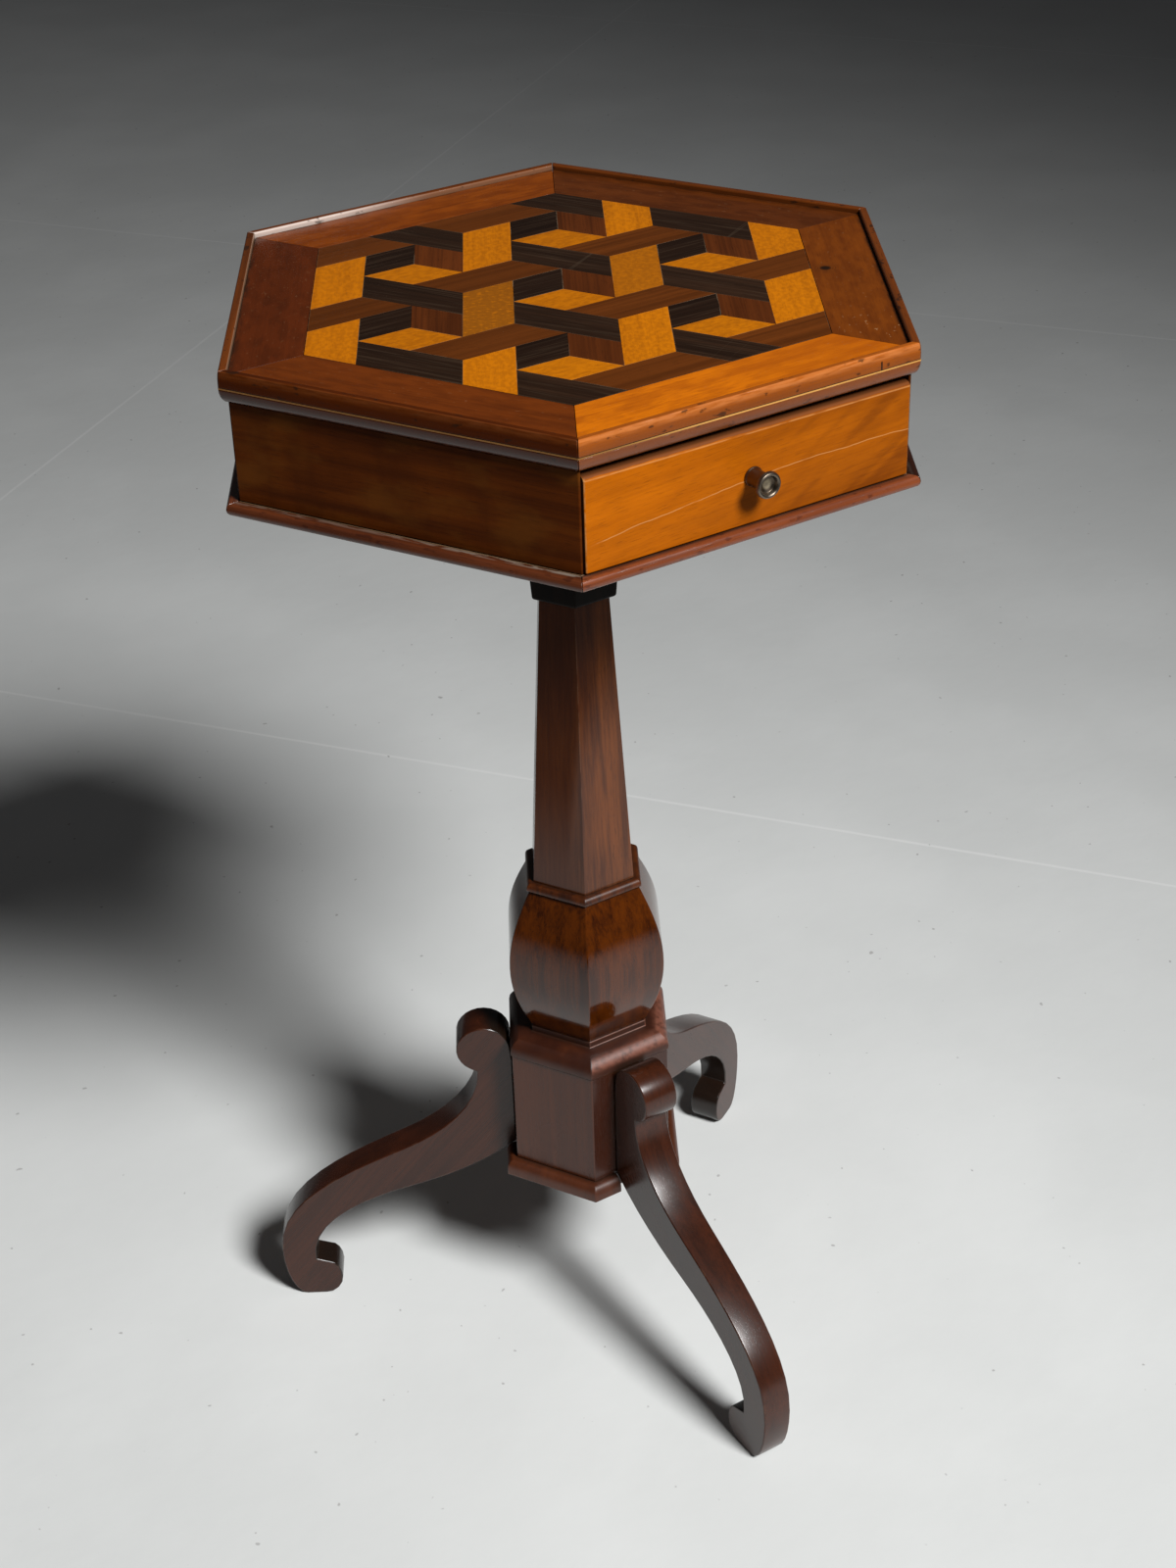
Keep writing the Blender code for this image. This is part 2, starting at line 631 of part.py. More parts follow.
def base_mouldings():
    """Half-round lengths round the edge of the bottom board."""
    inner = CASE_FLAT + CLEARANCE
    nose = bullnose(MOULDING_FLAT, BASE_MOULDING_NOSE, CASE_FOOT, CASE_FLOOR)
    section = [(inner, CASE_FOOT)] + nose + [(inner, CASE_FLOOR)]
    for name, angle in SIDES.items():
        solid("base_moulding_" + name, mitred(section), MAHOGANY, table, angle + 90)


# Top: a ground board with veneer on it, edged by a moulding that stands up as a low lip

def top_board():
    radius = BORDER_FLAT / COS30
    solid("top_board", hexagonal(((radius, BOARD_FOOT), (radius, BOARD_TOP))), PINE, table)


def lattice_triangles():
    """The corners of each lattice triangle inside the field, in steps along the lattice's two directions."""
    reach = range(-FIELD_STEPS, FIELD_STEPS)
    for a, b in product(reach, reach):
        for corners in (((a, b), (a + 1, b), (a, b + 1)), ((a + 1, b), (a + 1, b + 1), (a, b + 1))):
            if all(abs(p + q) <= FIELD_STEPS for p, q in corners):
                yield corners


def covers(corners, a, b):
    """Whether a convex outline goes round a point."""
    turns = []
    for (a1, b1), (a2, b2) in zip(corners, corners[1:] + corners[:1]):
        turns.append((a2 - a1) * (b - b1) > (b2 - b1) * (a - a1))
    return all(turns) or not any(turns)


def veneer_at(a, b):
    """The cell and the name of the veneer that lies at a point."""
    reach = FIELD_STEPS // CELL_STEPS + 1
    cells = [CELL_STEPS * n for n in range(-reach, reach + 1)]
    for i, j in product(cells, cells):
        for name, corners in VENEERS.items():
            if covers(corners, a - i, b - j):
                return i, j, name


def parquetry_panel():
    """The veneers as one sheet on a triangular lattice, each parted from the next by a fine open joint."""
    bm = bmesh.new()
    step = FIELD_RADIUS / FIELD_STEPS
    sunk = VENEER_TOP - JOINT_DEPTH
    points = {}
    veneers = {}
    for corners in lattice_triangles():
        for a, b in corners:
            if (a, b) not in points:
                points[a, b] = bm.verts.new(((a + b / 2) * step, b * COS30 * step, sunk))
        face = bm.faces.new([points[corner] for corner in corners])
        middle = [sum(values) / 3 for values in zip(*corners)]
        veneers.setdefault(veneer_at(*middle), []).append(face)
    under = bmesh.ops.extrude_face_region(bm, geom=bm.faces[:], use_keep_orig=True)["geom"]
    moved = [item for item in under if isinstance(item, bmesh.types.BMVert)]
    bmesh.ops.translate(bm, verts=moved, vec=(0, 0, VENEER_FOOT - sunk))
    bmesh.ops.recalc_face_normals(bm, faces=bm.faces)
    for faces in veneers.values():
        bmesh.ops.inset_region(bm, faces=faces, thickness=JOINT_WIDTH / 2, depth=JOINT_DEPTH,
                               use_boundary=True, use_even_offset=True)
    bmesh.ops.dissolve_limit(bm, angle_limit=math.radians(1), verts=bm.verts, edges=bm.edges)
    solid("parquetry_panel", bm, PARQUETRY, table)


def border_bands():
    section = ((BORDER_INSIDE_FLAT, VENEER_FOOT), (BORDER_FLAT, VENEER_FOOT),
               (BORDER_FLAT, VENEER_TOP), (BORDER_INSIDE_FLAT, VENEER_TOP))
    for name, angle in SIDES.items():
        solid("border_band_" + name, mitred(section), FIGURED, table, angle + 90)


def string_section(grow):
    """The stringing line's corners, grown for its groove."""
    middle = LIP_TOP - STRING_DROP
    low = middle - STRING_HEIGHT / 2 - grow
    high = middle + STRING_HEIGHT / 2 + grow
    return RIM_FLAT - STRING_DEPTH - grow, low, high


def rim_mouldings():
    """The edge in section: rounded under, full at the stringing line, and rising to the lip."""
    groove, low, high = string_section(INLAY_GAP)
    under = BOARD_FOOT + CLEARANCE
    lip = (RIM_INSIDE_FLAT + LIP_WIDTH, LIP_TOP)
    section = [(RIM_INSIDE_FLAT, under)]
    section += quarter((RIM_FLAT - RIM_UNDER_ROUND, under), (RIM_FLAT, low), 5, upright=False)
    section += [(RIM_FLAT, low), (groove, low), (groove, high)]
    section += quarter((RIM_FLAT, high), lip, 5)
    section += [lip, (RIM_INSIDE_FLAT + LIP_EDGE, LIP_TOP), (RIM_INSIDE_FLAT, LIP_TOP - LIP_EDGE)]
    for name, angle in SIDES.items():
        solid("rim_moulding_" + name, mitred(section), MAHOGANY, table, angle + 90)


def stringing():
    inner, low, high = string_section(0)
    section = ((inner, low), (RIM_FLAT, low), (RIM_FLAT, high), (inner, high))
    solid("stringing", hexagonal_ring(section), BOXWOOD, table)


# Drawer: a lap-dovetailed box that runs on the bottom board between two guides, under two kickers

def drawer_tails(grow):
    """Each tail as an outline of (y, height), grown for its socket."""
    tails = []
    height = DRAWER_SIDE_TOP - DRAWER_FOOT
    for i in range(TAIL_COUNT):
        middle = DRAWER_FOOT + height * (i + 0.5) / TAIL_COUNT
        root = TAIL_ROOT / 2 + grow
        tip = TAIL_TIP / 2 + grow
        end = FRONT_BACK - TAIL_LENGTH - grow
        tails.append([(FRONT_BACK + CLEARANCE, middle + root), (end, middle + tip),
                      (end, middle - tip), (FRONT_BACK + CLEARANCE, middle - root)])
    return tails


def drawer_side(name, hand):
    outline = [(DRAWER_REAR, DRAWER_FOOT), (DRAWER_REAR, DRAWER_SIDE_TOP),
               (FRONT_BACK + CLEARANCE, DRAWER_SIDE_TOP)]
    for tail in reversed(drawer_tails(0)):
        outline += tail
    outline.append((FRONT_BACK + CLEARANCE, DRAWER_FOOT))
    outer = hand * DRAWER_HALF
    inner = hand * INSIDE_HALF
    bm = extruded([[(x, y, z) for y, z in outline] for x in (inner, outer)])
    body = solid("drawer_side_" + name, bm, PINE, drawer)
    boolean(body, groove)


def drawer_front():
    """The front laps over the sides and stands a little proud of the case, its top edge worn round."""
    shoulder = (DRAWER_FACE, DRAWER_TOP - DRAWER_TOP_ROUND)
    ridge = (DRAWER_FACE + DRAWER_TOP_ROUND, DRAWER_TOP)
    section = [(FRONT_BACK, DRAWER_FOOT), (DRAWER_FACE, DRAWER_FOOT)]
    section += quarter(shoulder, ridge, 3) + [ridge, (FRONT_BACK, DRAWER_TOP)]
    bm = extruded([[(x, y, z) for y, z in section] for x in (-FRONT_HALF, FRONT_HALF)])
    body = solid("drawer_front", bm, FIGURED, drawer)
    bevel(body, DRAWER_FRONT_ROUND)
    for hand in (-1, 1):
        inner = hand * (INSIDE_HALF - CLEARANCE)
        outer = hand * (DRAWER_HALF + CLEARANCE)
        for i, tail in enumerate(drawer_tails(CLEARANCE)):
            bm = extruded([[(x, y, z) for y, z in tail] for x in (inner, outer)])
            boolean(body, tool_body(f"tail_socket_{hand}_{i}", bm, drawer))
    boolean(body, groove)
    shank = round_bar(KNOB_SHANK_RADIUS + CLEARANCE, -KNOB_SHANK_LENGTH - CLEARANCE, KNOB_OUT)
    hole = tool_body("knob_hole", shank, knob_seat)
    boolean(body, hole)


def drawer_back():
    half = INSIDE_HALF - CLEARANCE
    bottom = GROOVE_FOOT + GROOVE_HEIGHT
    depth = (DRAWER_REAR - DRAWER_BACK_THICK, DRAWER_REAR)
    height = (bottom, DRAWER_SIDE_TOP - DRAWER_BACK_DROP)
    solid("drawer_back", block((-half, half), depth, height), PINE, drawer)


def drawer_bottom():
    half = INSIDE_HALF + GROOVE_DEPTH - CLEARANCE
    depth = (FRONT_BACK - GROOVE_DEPTH + CLEARANCE, DRAWER_REAR)
    height = (GROOVE_FOOT + CLEARANCE, GROOVE_FOOT + GROOVE_HEIGHT - CLEARANCE)
    solid("drawer_bottom", block((-half, half), depth, height), PINE, drawer)


def drawer_knob():
    """A turned brass knob: a rose, a waisted neck and a dished face inside a raised rim."""
    head = (KNOB_RADIUS, KNOB_HEAD_OUT)
    waist = (KNOB_WAIST_RADIUS, KNOB_WAIST_OUT)
    rim = (KNOB_RADIUS - KNOB_RIM / 2, KNOB_OUT)
    dish = (KNOB_RADIUS - KNOB_RIM, KNOB_OUT - KNOB_RIM / 2)
    profile = [(0, -KNOB_SHANK_LENGTH), (KNOB_SHANK_RADIUS, -KNOB_SHANK_LENGTH),
               (KNOB_SHANK_RADIUS, CLEARANCE), (KNOB_ROSE_RADIUS, CLEARANCE)]
    profile += quarter((KNOB_ROSE_RADIUS, KNOB_ROSE_OUT), waist, 4, upright=False)
    profile += quarter(waist, head, 6)
    profile += quarter(head, rim, 3)
    profile += quarter(rim, dish, 3, upright=False)
    profile += quarter(dish, (0, KNOB_OUT - KNOB_DISH), 3)
    profile.append((0, KNOB_OUT - KNOB_DISH))
    body = solid("drawer_knob", turned(profile), BRASS, knob_seat)
    body.data.shade_smooth()
    body.data.set_sharp_from_angle(angle=SHARP_ANGLE)


def drawer_guides():
    for name, hand in (("right", 1), ("left", -1)):
        guide = block(sorted((hand * GUIDE_INSIDE, hand * GUIDE_OUTSIDE)),
                      (-GUIDE_HALF_LENGTH, GUIDE_HALF_LENGTH), (FRIEZE_FOOT, FRIEZE_FOOT + GUIDE_HEIGHT))
        solid("drawer_guide_" + name, guide, PINE, table)
        kicker = block(sorted((hand * (DRAWER_HALF - KICKER_WIDTH), hand * DRAWER_HALF)),
                       (-GUIDE_HALF_LENGTH, GUIDE_HALF_LENGTH), (DRAWER_SIDE_TOP + SLIDE_GAP, FRIEZE_TOP))
        solid("drawer_kicker_" + name, kicker, PINE, table)


plinth_base()
plinth_block()
plinth_cap()
bulb()
collar()
shaft()
capital()
bearer_plate()
for leg_name, leg_angle in LEGS.items():
    leg(leg_name, leg_angle)

case_bottom()
frieze_panels()
base_mouldings()
drawer_guides()

top_board()
parquetry_panel()
border_bands()
rim_mouldings()
stringing()

# The drawer hangs on an empty that slides along -Y, and the knob on one at the middle of the drawer front
drawer = empty("drawer_slide", (0, 0, 0), table)
knob_seat = empty("knob_seat", (0, DRAWER_FACE, (DRAWER_FOOT + DRAWER_TOP) / 2), drawer)
knob_seat.rotation_euler.x = math.radians(90)
groove_half = INSIDE_HALF + GROOVE_DEPTH
groove_run = (FRONT_BACK - GROOVE_DEPTH, DRAWER_REAR * 2)
groove_body = block((-groove_half, groove_half), groove_run, (GROOVE_FOOT, GROOVE_FOOT + GROOVE_HEIGHT))
groove = tool_body("bottom_groove", groove_body, drawer)
drawer_front()
drawer_side("left", -1)
drawer_side("right", 1)
drawer_back()
drawer_bottom()
drawer_knob()
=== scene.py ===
import math
import random

import bmesh
import bpy
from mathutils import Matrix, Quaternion, Vector


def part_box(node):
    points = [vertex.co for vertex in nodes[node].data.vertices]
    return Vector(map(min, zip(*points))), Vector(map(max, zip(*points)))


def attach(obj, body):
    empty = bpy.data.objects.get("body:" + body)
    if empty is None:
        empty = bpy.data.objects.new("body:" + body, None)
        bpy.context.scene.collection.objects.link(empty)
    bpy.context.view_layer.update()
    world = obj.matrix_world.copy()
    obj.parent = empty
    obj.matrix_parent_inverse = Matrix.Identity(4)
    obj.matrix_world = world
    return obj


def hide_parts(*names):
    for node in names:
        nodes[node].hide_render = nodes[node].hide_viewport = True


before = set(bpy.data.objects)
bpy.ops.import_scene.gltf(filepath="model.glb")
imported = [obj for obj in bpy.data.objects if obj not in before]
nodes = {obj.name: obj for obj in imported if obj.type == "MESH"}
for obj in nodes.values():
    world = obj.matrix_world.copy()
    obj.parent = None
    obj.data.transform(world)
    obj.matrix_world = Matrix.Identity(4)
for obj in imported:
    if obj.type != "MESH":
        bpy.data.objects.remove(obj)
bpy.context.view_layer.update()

# The camera stands at the drawer's left and looks down on the table through a longish lens.
# Its place and turn were solved from the corners of the table's hexagons.
shaft_low, shaft_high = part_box("shaft")
axis = Vector(((shaft_low[0] + shaft_high[0]) / 2, (shaft_low[1] + shaft_high[1]) / 2, 0))
CAMERA_FROM_AXIS = Vector((-0.6814, -1.1249, 1.2188))
CAMERA_YAW = math.radians(58.578)
CAMERA_PITCH = math.radians(-31.958)
CAMERA_ROLL = math.radians(-1.791)
CAMERA_LENS = 58.02
CAMERA_SENSOR = 36
camera = bpy.data.objects.new("camera", bpy.data.cameras.new("camera"))
bpy.context.collection.objects.link(camera)
bpy.context.scene.camera = camera
camera.data.sensor_width = CAMERA_SENSOR
camera.data.lens = CAMERA_LENS
camera.location = axis + CAMERA_FROM_AXIS
sight = Vector((math.cos(CAMERA_YAW), math.sin(CAMERA_YAW), math.tan(CAMERA_PITCH)))
camera.rotation_mode = 'QUATERNION'
camera.rotation_quaternion = sight.to_track_quat('-Z', 'Y') @ Quaternion((0, 0, 1), CAMERA_ROLL)


class Socket:
    """One output of a node; sums of these become Math nodes in the same tree."""

    def __init__(self, tree, output=None):
        self.tree = tree
        self.output = output

    def node(self, kind, settings=None, values=None, out=0):
        """A new node from its type, its settings and the values or links of its sockets."""
        made = self.tree.nodes.new(kind)
        for name, value in (settings or {}).items():
            setattr(made, name, value)
        for key, value in (values or {}).items():
            if isinstance(value, Socket):
                self.tree.links.new(value.output, made.inputs[key])
            else:
                made.inputs[key].default_value = value
        return Socket(self.tree, made.outputs[out] if len(made.outputs) else None)

    def math(self, operation, *values):
        """A sum of another kind, over numbers or sockets."""
        return self.node("ShaderNodeMath", {"operation": operation}, dict(enumerate(values)))

    def __add__(self, other):
        return self.math('ADD', self, other)

    __radd__ = __add__

    def __sub__(self, other):
        return self.math('SUBTRACT', self, other)

    def __rsub__(self, other):
        return self.math('SUBTRACT', other, self)

    def __mul__(self, other):
        return self.math('MULTIPLY', self, other)

    __rmul__ = __mul__

    def fade(self, low, high):
        """0 below one limit and 1 above the other, with a soft step between."""
        return self.node("ShaderNodeMapRange", {"interpolation_type": 'SMOOTHSTEP'},
                         {"Value": self, "From Min": low, "From Max": high})

    def along(self, direction):
        """How far a place lies in a direction."""
        return self.node("ShaderNodeVectorMath", {"operation": 'DOT_PRODUCT'},
                         {0: self, 1: direction}, out="Value")

    def distance(self, point, kept):
        """How far a place lies from a point, counting only the directions that are kept."""
        flat = self.node("ShaderNodeVectorMath", {"operation": 'MULTIPLY'}, {0: self, 1: kept})
        return self.node("ShaderNodeVectorMath", {"operation": 'DISTANCE'},
                         {0: flat, 1: point}, out="Value")

    def normal(self):
        """The way the surface faces."""
        return self.node("ShaderNodeNewGeometry", out="Normal")

    def noise(self, scale, detail=2, twist=0.0):
        """Cloudy values round a half, with so many clouds to the metre in each direction."""
        stretched = self.node("ShaderNodeVectorMath", {"operation": 'MULTIPLY'}, {0: self, 1: scale})
        return self.node("ShaderNodeTexNoise", None,
                         {"Vector": stretched, "Scale": 1, "Detail": detail, "Distortion": twist})

    def feed(self, shader, name):
        """Link this to one input of a shader."""
        self.tree.links.new(self.output, shader.inputs[name])


def mixed(first, second, share):
    """A colour between two others."""
    return share.node("ShaderNodeMix", {"data_type": 'RGBA'}, {0: share, 6: first, 7: second}, out=2)


# The floor is large panels painted pale grey, laid askew with hairline joints between them.
# One big softbox lights it and the table from the drawer's side, and the room beyond stays dim.
FLOOR_SIZE = 24
FLOOR_PALE = (0.75, 0.764, 0.753, 1)
FLOOR_GREY = (0.715, 0.729, 0.718, 1)
FLOOR_JOINT = (0.81, 0.820, 0.81, 1)
FLOOR_SPECK = (0.48, 0.48, 0.47, 1)
PANEL_ROWS = ((38.1, 0.592, 1.21), (127.3, 1.069, 2.42))
PANEL_JOINT = (0.0010, 0.0022)
half = FLOOR_SIZE / 2
floor_corners = [(-half, -half, 0), (half, -half, 0), (half, half, 0), (-half, half, 0)]
floor_mesh = bpy.data.meshes.new("floor")
floor_mesh.from_pydata(floor_corners, [], [(0, 1, 2, 3)])
floor = bpy.data.objects.new("floor", floor_mesh)
bpy.context.collection.objects.link(floor)
floor_paint = bpy.data.materials.new("floor_paint")
floor_paint.use_nodes = True
floor_place = Socket(floor_paint.node_tree).node("ShaderNodeTexCoord", out="Object")
floor_shader = floor_paint.node_tree.nodes["Principled BSDF"]
rolled = floor_place.noise((5, 5, 5), detail=5).fade(0.35, 0.7)
floor_colour = mixed(FLOOR_GREY, FLOOR_PALE, rolled)
for turn, offset, pitch in PANEL_ROWS:
    across = Vector((math.cos(math.radians(turn)), math.sin(math.radians(turn)), 0))
    from_first = floor_place.along(across) - (offset + across.dot(axis))
    from_joint = floor_place.math('PINGPONG', from_first, pitch / 2)
    floor_colour = mixed(FLOOR_JOINT, floor_colour, from_joint.fade(*PANEL_JOINT))
specks = floor_place.noise((130, 130, 130), detail=1).fade(0.76, 0.80)
mixed(floor_colour, FLOOR_SPECK, specks).feed(floor_shader, "Base Color")
(0.60 + rolled * 0.1).feed(floor_shader, "Roughness")
ripple = floor_place.noise((45, 45, 45), detail=4)
rippled = floor_place.node("ShaderNodeBump", None, {"Strength": 0.12, "Distance": 0.002, "Height": ripple})
rippled.feed(floor_shader, "Normal")
floor_mesh.materials.append(floor_paint)

KEY_FROM_AXIS = Vector((0.447, -2.994, 3.454))
KEY_AIM = Vector((-0.089, 0.075, 0))
KEY_SIZE = 1.2
KEY_SPREAD = math.radians(52)
KEY_POWER = 23.0
key_data = bpy.data.lights.new("softbox", 'AREA')
key_data.shape = 'DISK'
key_data.size = KEY_SIZE
key_data.spread = KEY_SPREAD
key_data.energy = KEY_POWER
key = bpy.data.objects.new("softbox", key_data)
bpy.context.collection.objects.link(key)
key.location = axis + KEY_FROM_AXIS
key.rotation_mode = 'QUATERNION'
key.rotation_quaternion = (KEY_AIM - KEY_FROM_AXIS).to_track_quat('-Z', 'Y')

ROOM_GREY = (0.032, 0.032, 0.033, 1)
room = bpy.data.worlds.new("room")
bpy.context.scene.world = room
room.use_nodes = True
room.node_tree.nodes["Background"].inputs["Color"].default_value = ROOM_GREY
bpy.context.scene.view_settings.view_transform = 'Standard'

# The three legs are sawn from mahogany plank, shaped by hand, stained dark and french polished.
# Each is slid up into the plinth on a dovetail; the grain runs from the scroll to the foot.
LEGS = {"front": -90, "right": 30, "left": 150}
UP = Vector((0, 0, 1))
SHARP = math.radians(32)
FLAT = math.radians(0.5)
WELD = 0.00001

smooth_curves = bpy.data.node_groups.new("smooth_curves", 'GeometryNodeTree')
smooth_curves.interface.new_socket("Mesh", in_out='INPUT', socket_type='NodeSocketGeometry')
smooth_curves.interface.new_socket("Mesh", in_out='OUTPUT', socket_type='NodeSocketGeometry')
raw_mesh = Socket(smooth_curves).node("NodeGroupInput")
bend = raw_mesh.node("GeometryNodeInputMeshEdgeAngle")
sharp = raw_mesh.node("FunctionNodeCompare", {"operation": 'GREATER_THAN'}, {0: bend, 1: SHARP})
welded = raw_mesh.node("GeometryNodeMergeByDistance", None, {"Geometry": raw_mesh, "Distance": WELD})
shaded = raw_mesh.node("GeometryNodeSetMeshNormal", {"mode": 'SHARPNESS'},
                       {"Mesh": welded, "Remove Custom": True,
                        "Edge Sharpness": sharp, "Face Sharpness": False})
raw_mesh.node("NodeGroupOutput", None, {0: shaded})


def eased(name, surface, edge):
    """Give a CAD node its material, shade its curves smooth and rub its edges round."""
    thing = nodes[name]
    thing.material_slots[0].material = surface
    thing.modifiers.new("Curves", 'NODES').node_group = smooth_curves
    flats = thing.modifiers.new("Flats", 'DECIMATE')
    flats.decimate_type = 'DISSOLVE'
    flats.angle_limit = FLAT
    edges = thing.modifiers.new("Edges", 'BEVEL')
    edges.width = edge
    edges.segments = 2
    edges.limit_method = 'ANGLE'
    edges.angle_limit = SHARP
    shading = thing.modifiers.new("Shading", 'WEIGHTED_NORMAL')
    shading.keep_sharp = True


def facing(angle):
    """The level direction at an angle in degrees."""
    return Vector((math.cos(math.radians(angle)), math.sin(math.radians(angle)), 0))


def timber(name, grain, face, pale, dark, seed, bands=95, bold=1.0):
    """Straight-grained wood: a new material, its place along the grain, its colour and its pores."""
    surface = bpy.data.materials.new(name)
    surface.use_nodes = True
    place = Socket(surface.node_tree).node("ShaderNodeTexCoord", out="Object")
    run = grain.normalized()
    across = face.cross(run).normalized()
    sides = (run, across, run.cross(across))
    turned = place.node("ShaderNodeCombineXYZ", None,
                        {i: place.along(side) for i, side in enumerate(sides)})
    elsewhere = (0.31 * seed, 0.17 * seed, 0.23 * seed)
    spot = turned.node("ShaderNodeVectorMath", {"operation": 'ADD'}, {0: turned, 1: elsewhere})
    growth = spot.noise((2.5, bands, bands), detail=4, twist=0.8)
    fibre = spot.noise((10, 5 * bands, 5 * bands), detail=3)
    cloud = spot.noise((9, 14, 14))
    softness = 0.14 / bold
    tone = (growth * 0.45 + fibre * 0.25 + cloud * 0.3).fade(0.5 - softness, 0.5 + softness)
    pores = spot.noise((110, 2100, 2100)).fade(0.58, 0.70)
    pore_dark = tuple(0.4 * part for part in dark[:3]) + (1,)
    colour = mixed(mixed(dark, pale, tone), pore_dark, pores * 0.5)
    return surface, place, spot, colour, pores


def rubbed(place, reach):
    """How near a point lies to an outer edge, where handling wears the polish."""
    round_normal = place.node("ShaderNodeBevel", {"samples": 6}, {"Radius": reach})
    return (1 - round_normal.along(place.normal())).fade(0.01, 0.15)


# The grime colour is real dirt in the rim's dents and crack, and painted shade where polished() darkens
# corners.
GRIME_AND_SHADE = (0.018, 0.009, 0.005, 1)
PAINTED_SHADE_REACH = 0.006
PORE_DEPTH = 0.0002


def polished(surface, spot, colour, pores, gloss=0.18, haze=0.1, shine=0.5, under=None, corners=0.85):
    """French polish: a thin film, dulled in patches, sunk into the pores, with painted shade darkening its
    corners.
    """
    shader = surface.node_tree.nodes["Principled BSDF"]
    dull = spot.noise((16, 24, 24), detail=3).fade(0.35, 0.75)
    # Painted shade: corners and crevices found by ambient occlusion are darkened towards the grime colour, by
    # the share in corners.
    open_air = spot.node("ShaderNodeAmbientOcclusion", {"samples": 6}, {"Distance": PAINTED_SHADE_REACH}, out="AO")
    unshaded = (1 - corners) + open_air.fade(0.30, 0.92) * corners
    mixed(GRIME_AND_SHADE, colour, unshaded).feed(shader, "Base Color")
    (gloss + (dull + pores * 0.7) * haze).feed(shader, "Roughness")
    shader.inputs["Specular IOR Level"].default_value = shine
    sunk = {"Strength": haze * 2, "Distance": PORE_DEPTH, "Height": 1 - pores}
    if under:
        sunk["Normal"] = under
    spot.node("ShaderNodeBump", None, sunk).feed(shader, "Normal")


LEG_PALE = (0.060, 0.0145, 0.005, 1)
LEG_DARK = (0.019, 0.005, 0.002, 1)
LEG_RUN_OUT = 0.62
LEG_RUN_DOWN = 0.78
LEG_CROWN = 3.2
LEG_INWARD_SHADE = (0.009, 0.006, 0.004, 1)
SCUFF = (0.30, 0.17, 0.10, 1)
for seed, (leg, angle) in enumerate(LEGS.items()):
    grain = facing(angle) * LEG_RUN_OUT - UP * LEG_RUN_DOWN
    cheek = facing(angle + 90)
    surface, place, spot, colour, pores = timber("leg_mahogany_" + leg, grain, cheek,
                                                 LEG_PALE, LEG_DARK, seed, bold=0.6)
    aside = place.along(cheek) - axis.dot(cheek)
    crown = aside * aside * -LEG_CROWN
    crowned = place.node("ShaderNodeBump", None, {"Strength": 1, "Distance": 1, "Height": crown})
    # Painted shade: faces turned in towards the column are darkened almost to black.
    inward = place.normal().along(facing(angle + 180))
    colour = mixed(colour, LEG_INWARD_SHADE, inward.fade(-0.1, 0.4) * 0.9)
    scuffs = rubbed(place, reach=0.0018) * spot.noise((70, 70, 70), detail=4).fade(0.52, 0.60)
    colour = mixed(colour, SCUFF, scuffs * 0.6)
    polished(surface, spot, colour, pores, gloss=0.24, haze=0.03, under=crowned)
    eased("leg_" + leg, surface, edge=0.0010)

# The plinth is a hexagonal mahogany block with upright grain, a moulded plate under it and a moulded cap.
# The plate and the cap are planted on and their corners are rubbed bright; the block is painted darker away
# from its left face as shade, and the cap is painted lighter towards the light as a highlight.
PLINTH_PALE = (0.094, 0.022, 0.005, 1)
PLINTH_DARK = (0.048, 0.011, 0.003, 1)
PLINTH_PATCH_AND_SHADE = (0.028, 0.006, 0.002, 1)
CAP_PAINTED_HIGHLIGHT = (0.175, 0.060, 0.036, 1)
for seed, name in enumerate(("plinth_block", "plinth_cap", "plinth_base"), 10):
    surface, place, spot, colour, pores = timber(name + "_mahogany", UP, facing(-90),
                                                 PLINTH_PALE, PLINTH_DARK, seed, bold=0.6)
    scuffs = rubbed(place, reach=0.0016) * spot.noise((80, 80, 80), detail=3).fade(0.42, 0.60)
    normal = place.normal()
    if name == "plinth_block":
        # Painted shade: the block darkens on the faces turned away from the drawer's left.
        lit_side = normal.along(facing(210)).fade(0.4, 0.9)
        colour = mixed(PLINTH_PATCH_AND_SHADE, colour, 0.1 + lit_side * 0.9)
    if name == "plinth_cap":
        patches = spot.noise((60, 60, 60), detail=3).fade(0.3, 0.7)
        colour = mixed(PLINTH_PATCH_AND_SHADE, colour, patches * 0.5)
        # Painted highlight: the cap's round is lightened in specks where it faces up and towards the light.
        highlight_side = normal.along(facing(-30)).fade(0.1, 0.4) * normal.along(UP).fade(0.15, 0.5)
        speckled = spot.noise((260, 260, 260), detail=4).fade(0.14, 0.60)
        colour = mixed(colour, CAP_PAINTED_HIGHLIGHT, highlight_side * speckled)
    gloss, shine = (0.22, 0.5) if name == "plinth_block" else (0.40, 0.55)
    polished(surface, spot, mixed(colour, SCUFF, scuffs * 0.5), pores, gloss, shine=shine)
    eased(name, surface, edge=0.0006)

# The bulb is a hexagonal baluster carved from one mahogany billet, with a thin collar planted on it.
# Upright streaks show through its polish, which is the glossiest on the table.
BULB_PALE = (0.084, 0.018, 0.001, 1)
BULB_DARK = (0.022, 0.0045, 0.001, 1)
for seed, name in enumerate(("bulb", "collar"), 20):
    surface, place, spot, colour, pores = timber(name + "_mahogany", UP, facing(-90),
                                                 BULB_PALE, BULB_DARK, seed, bands=150)
    scuffs = rubbed(place, reach=0.0012) * spot.noise((80, 80, 80), detail=3).fade(0.44, 0.62)
    gloss = 0.09 if name == "bulb" else 0.36
    polished(surface, spot, mixed(colour, SCUFF, scuffs * 0.4), pores, gloss, haze=0.04, shine=0.6)
    eased(name, surface, edge=0.0005)
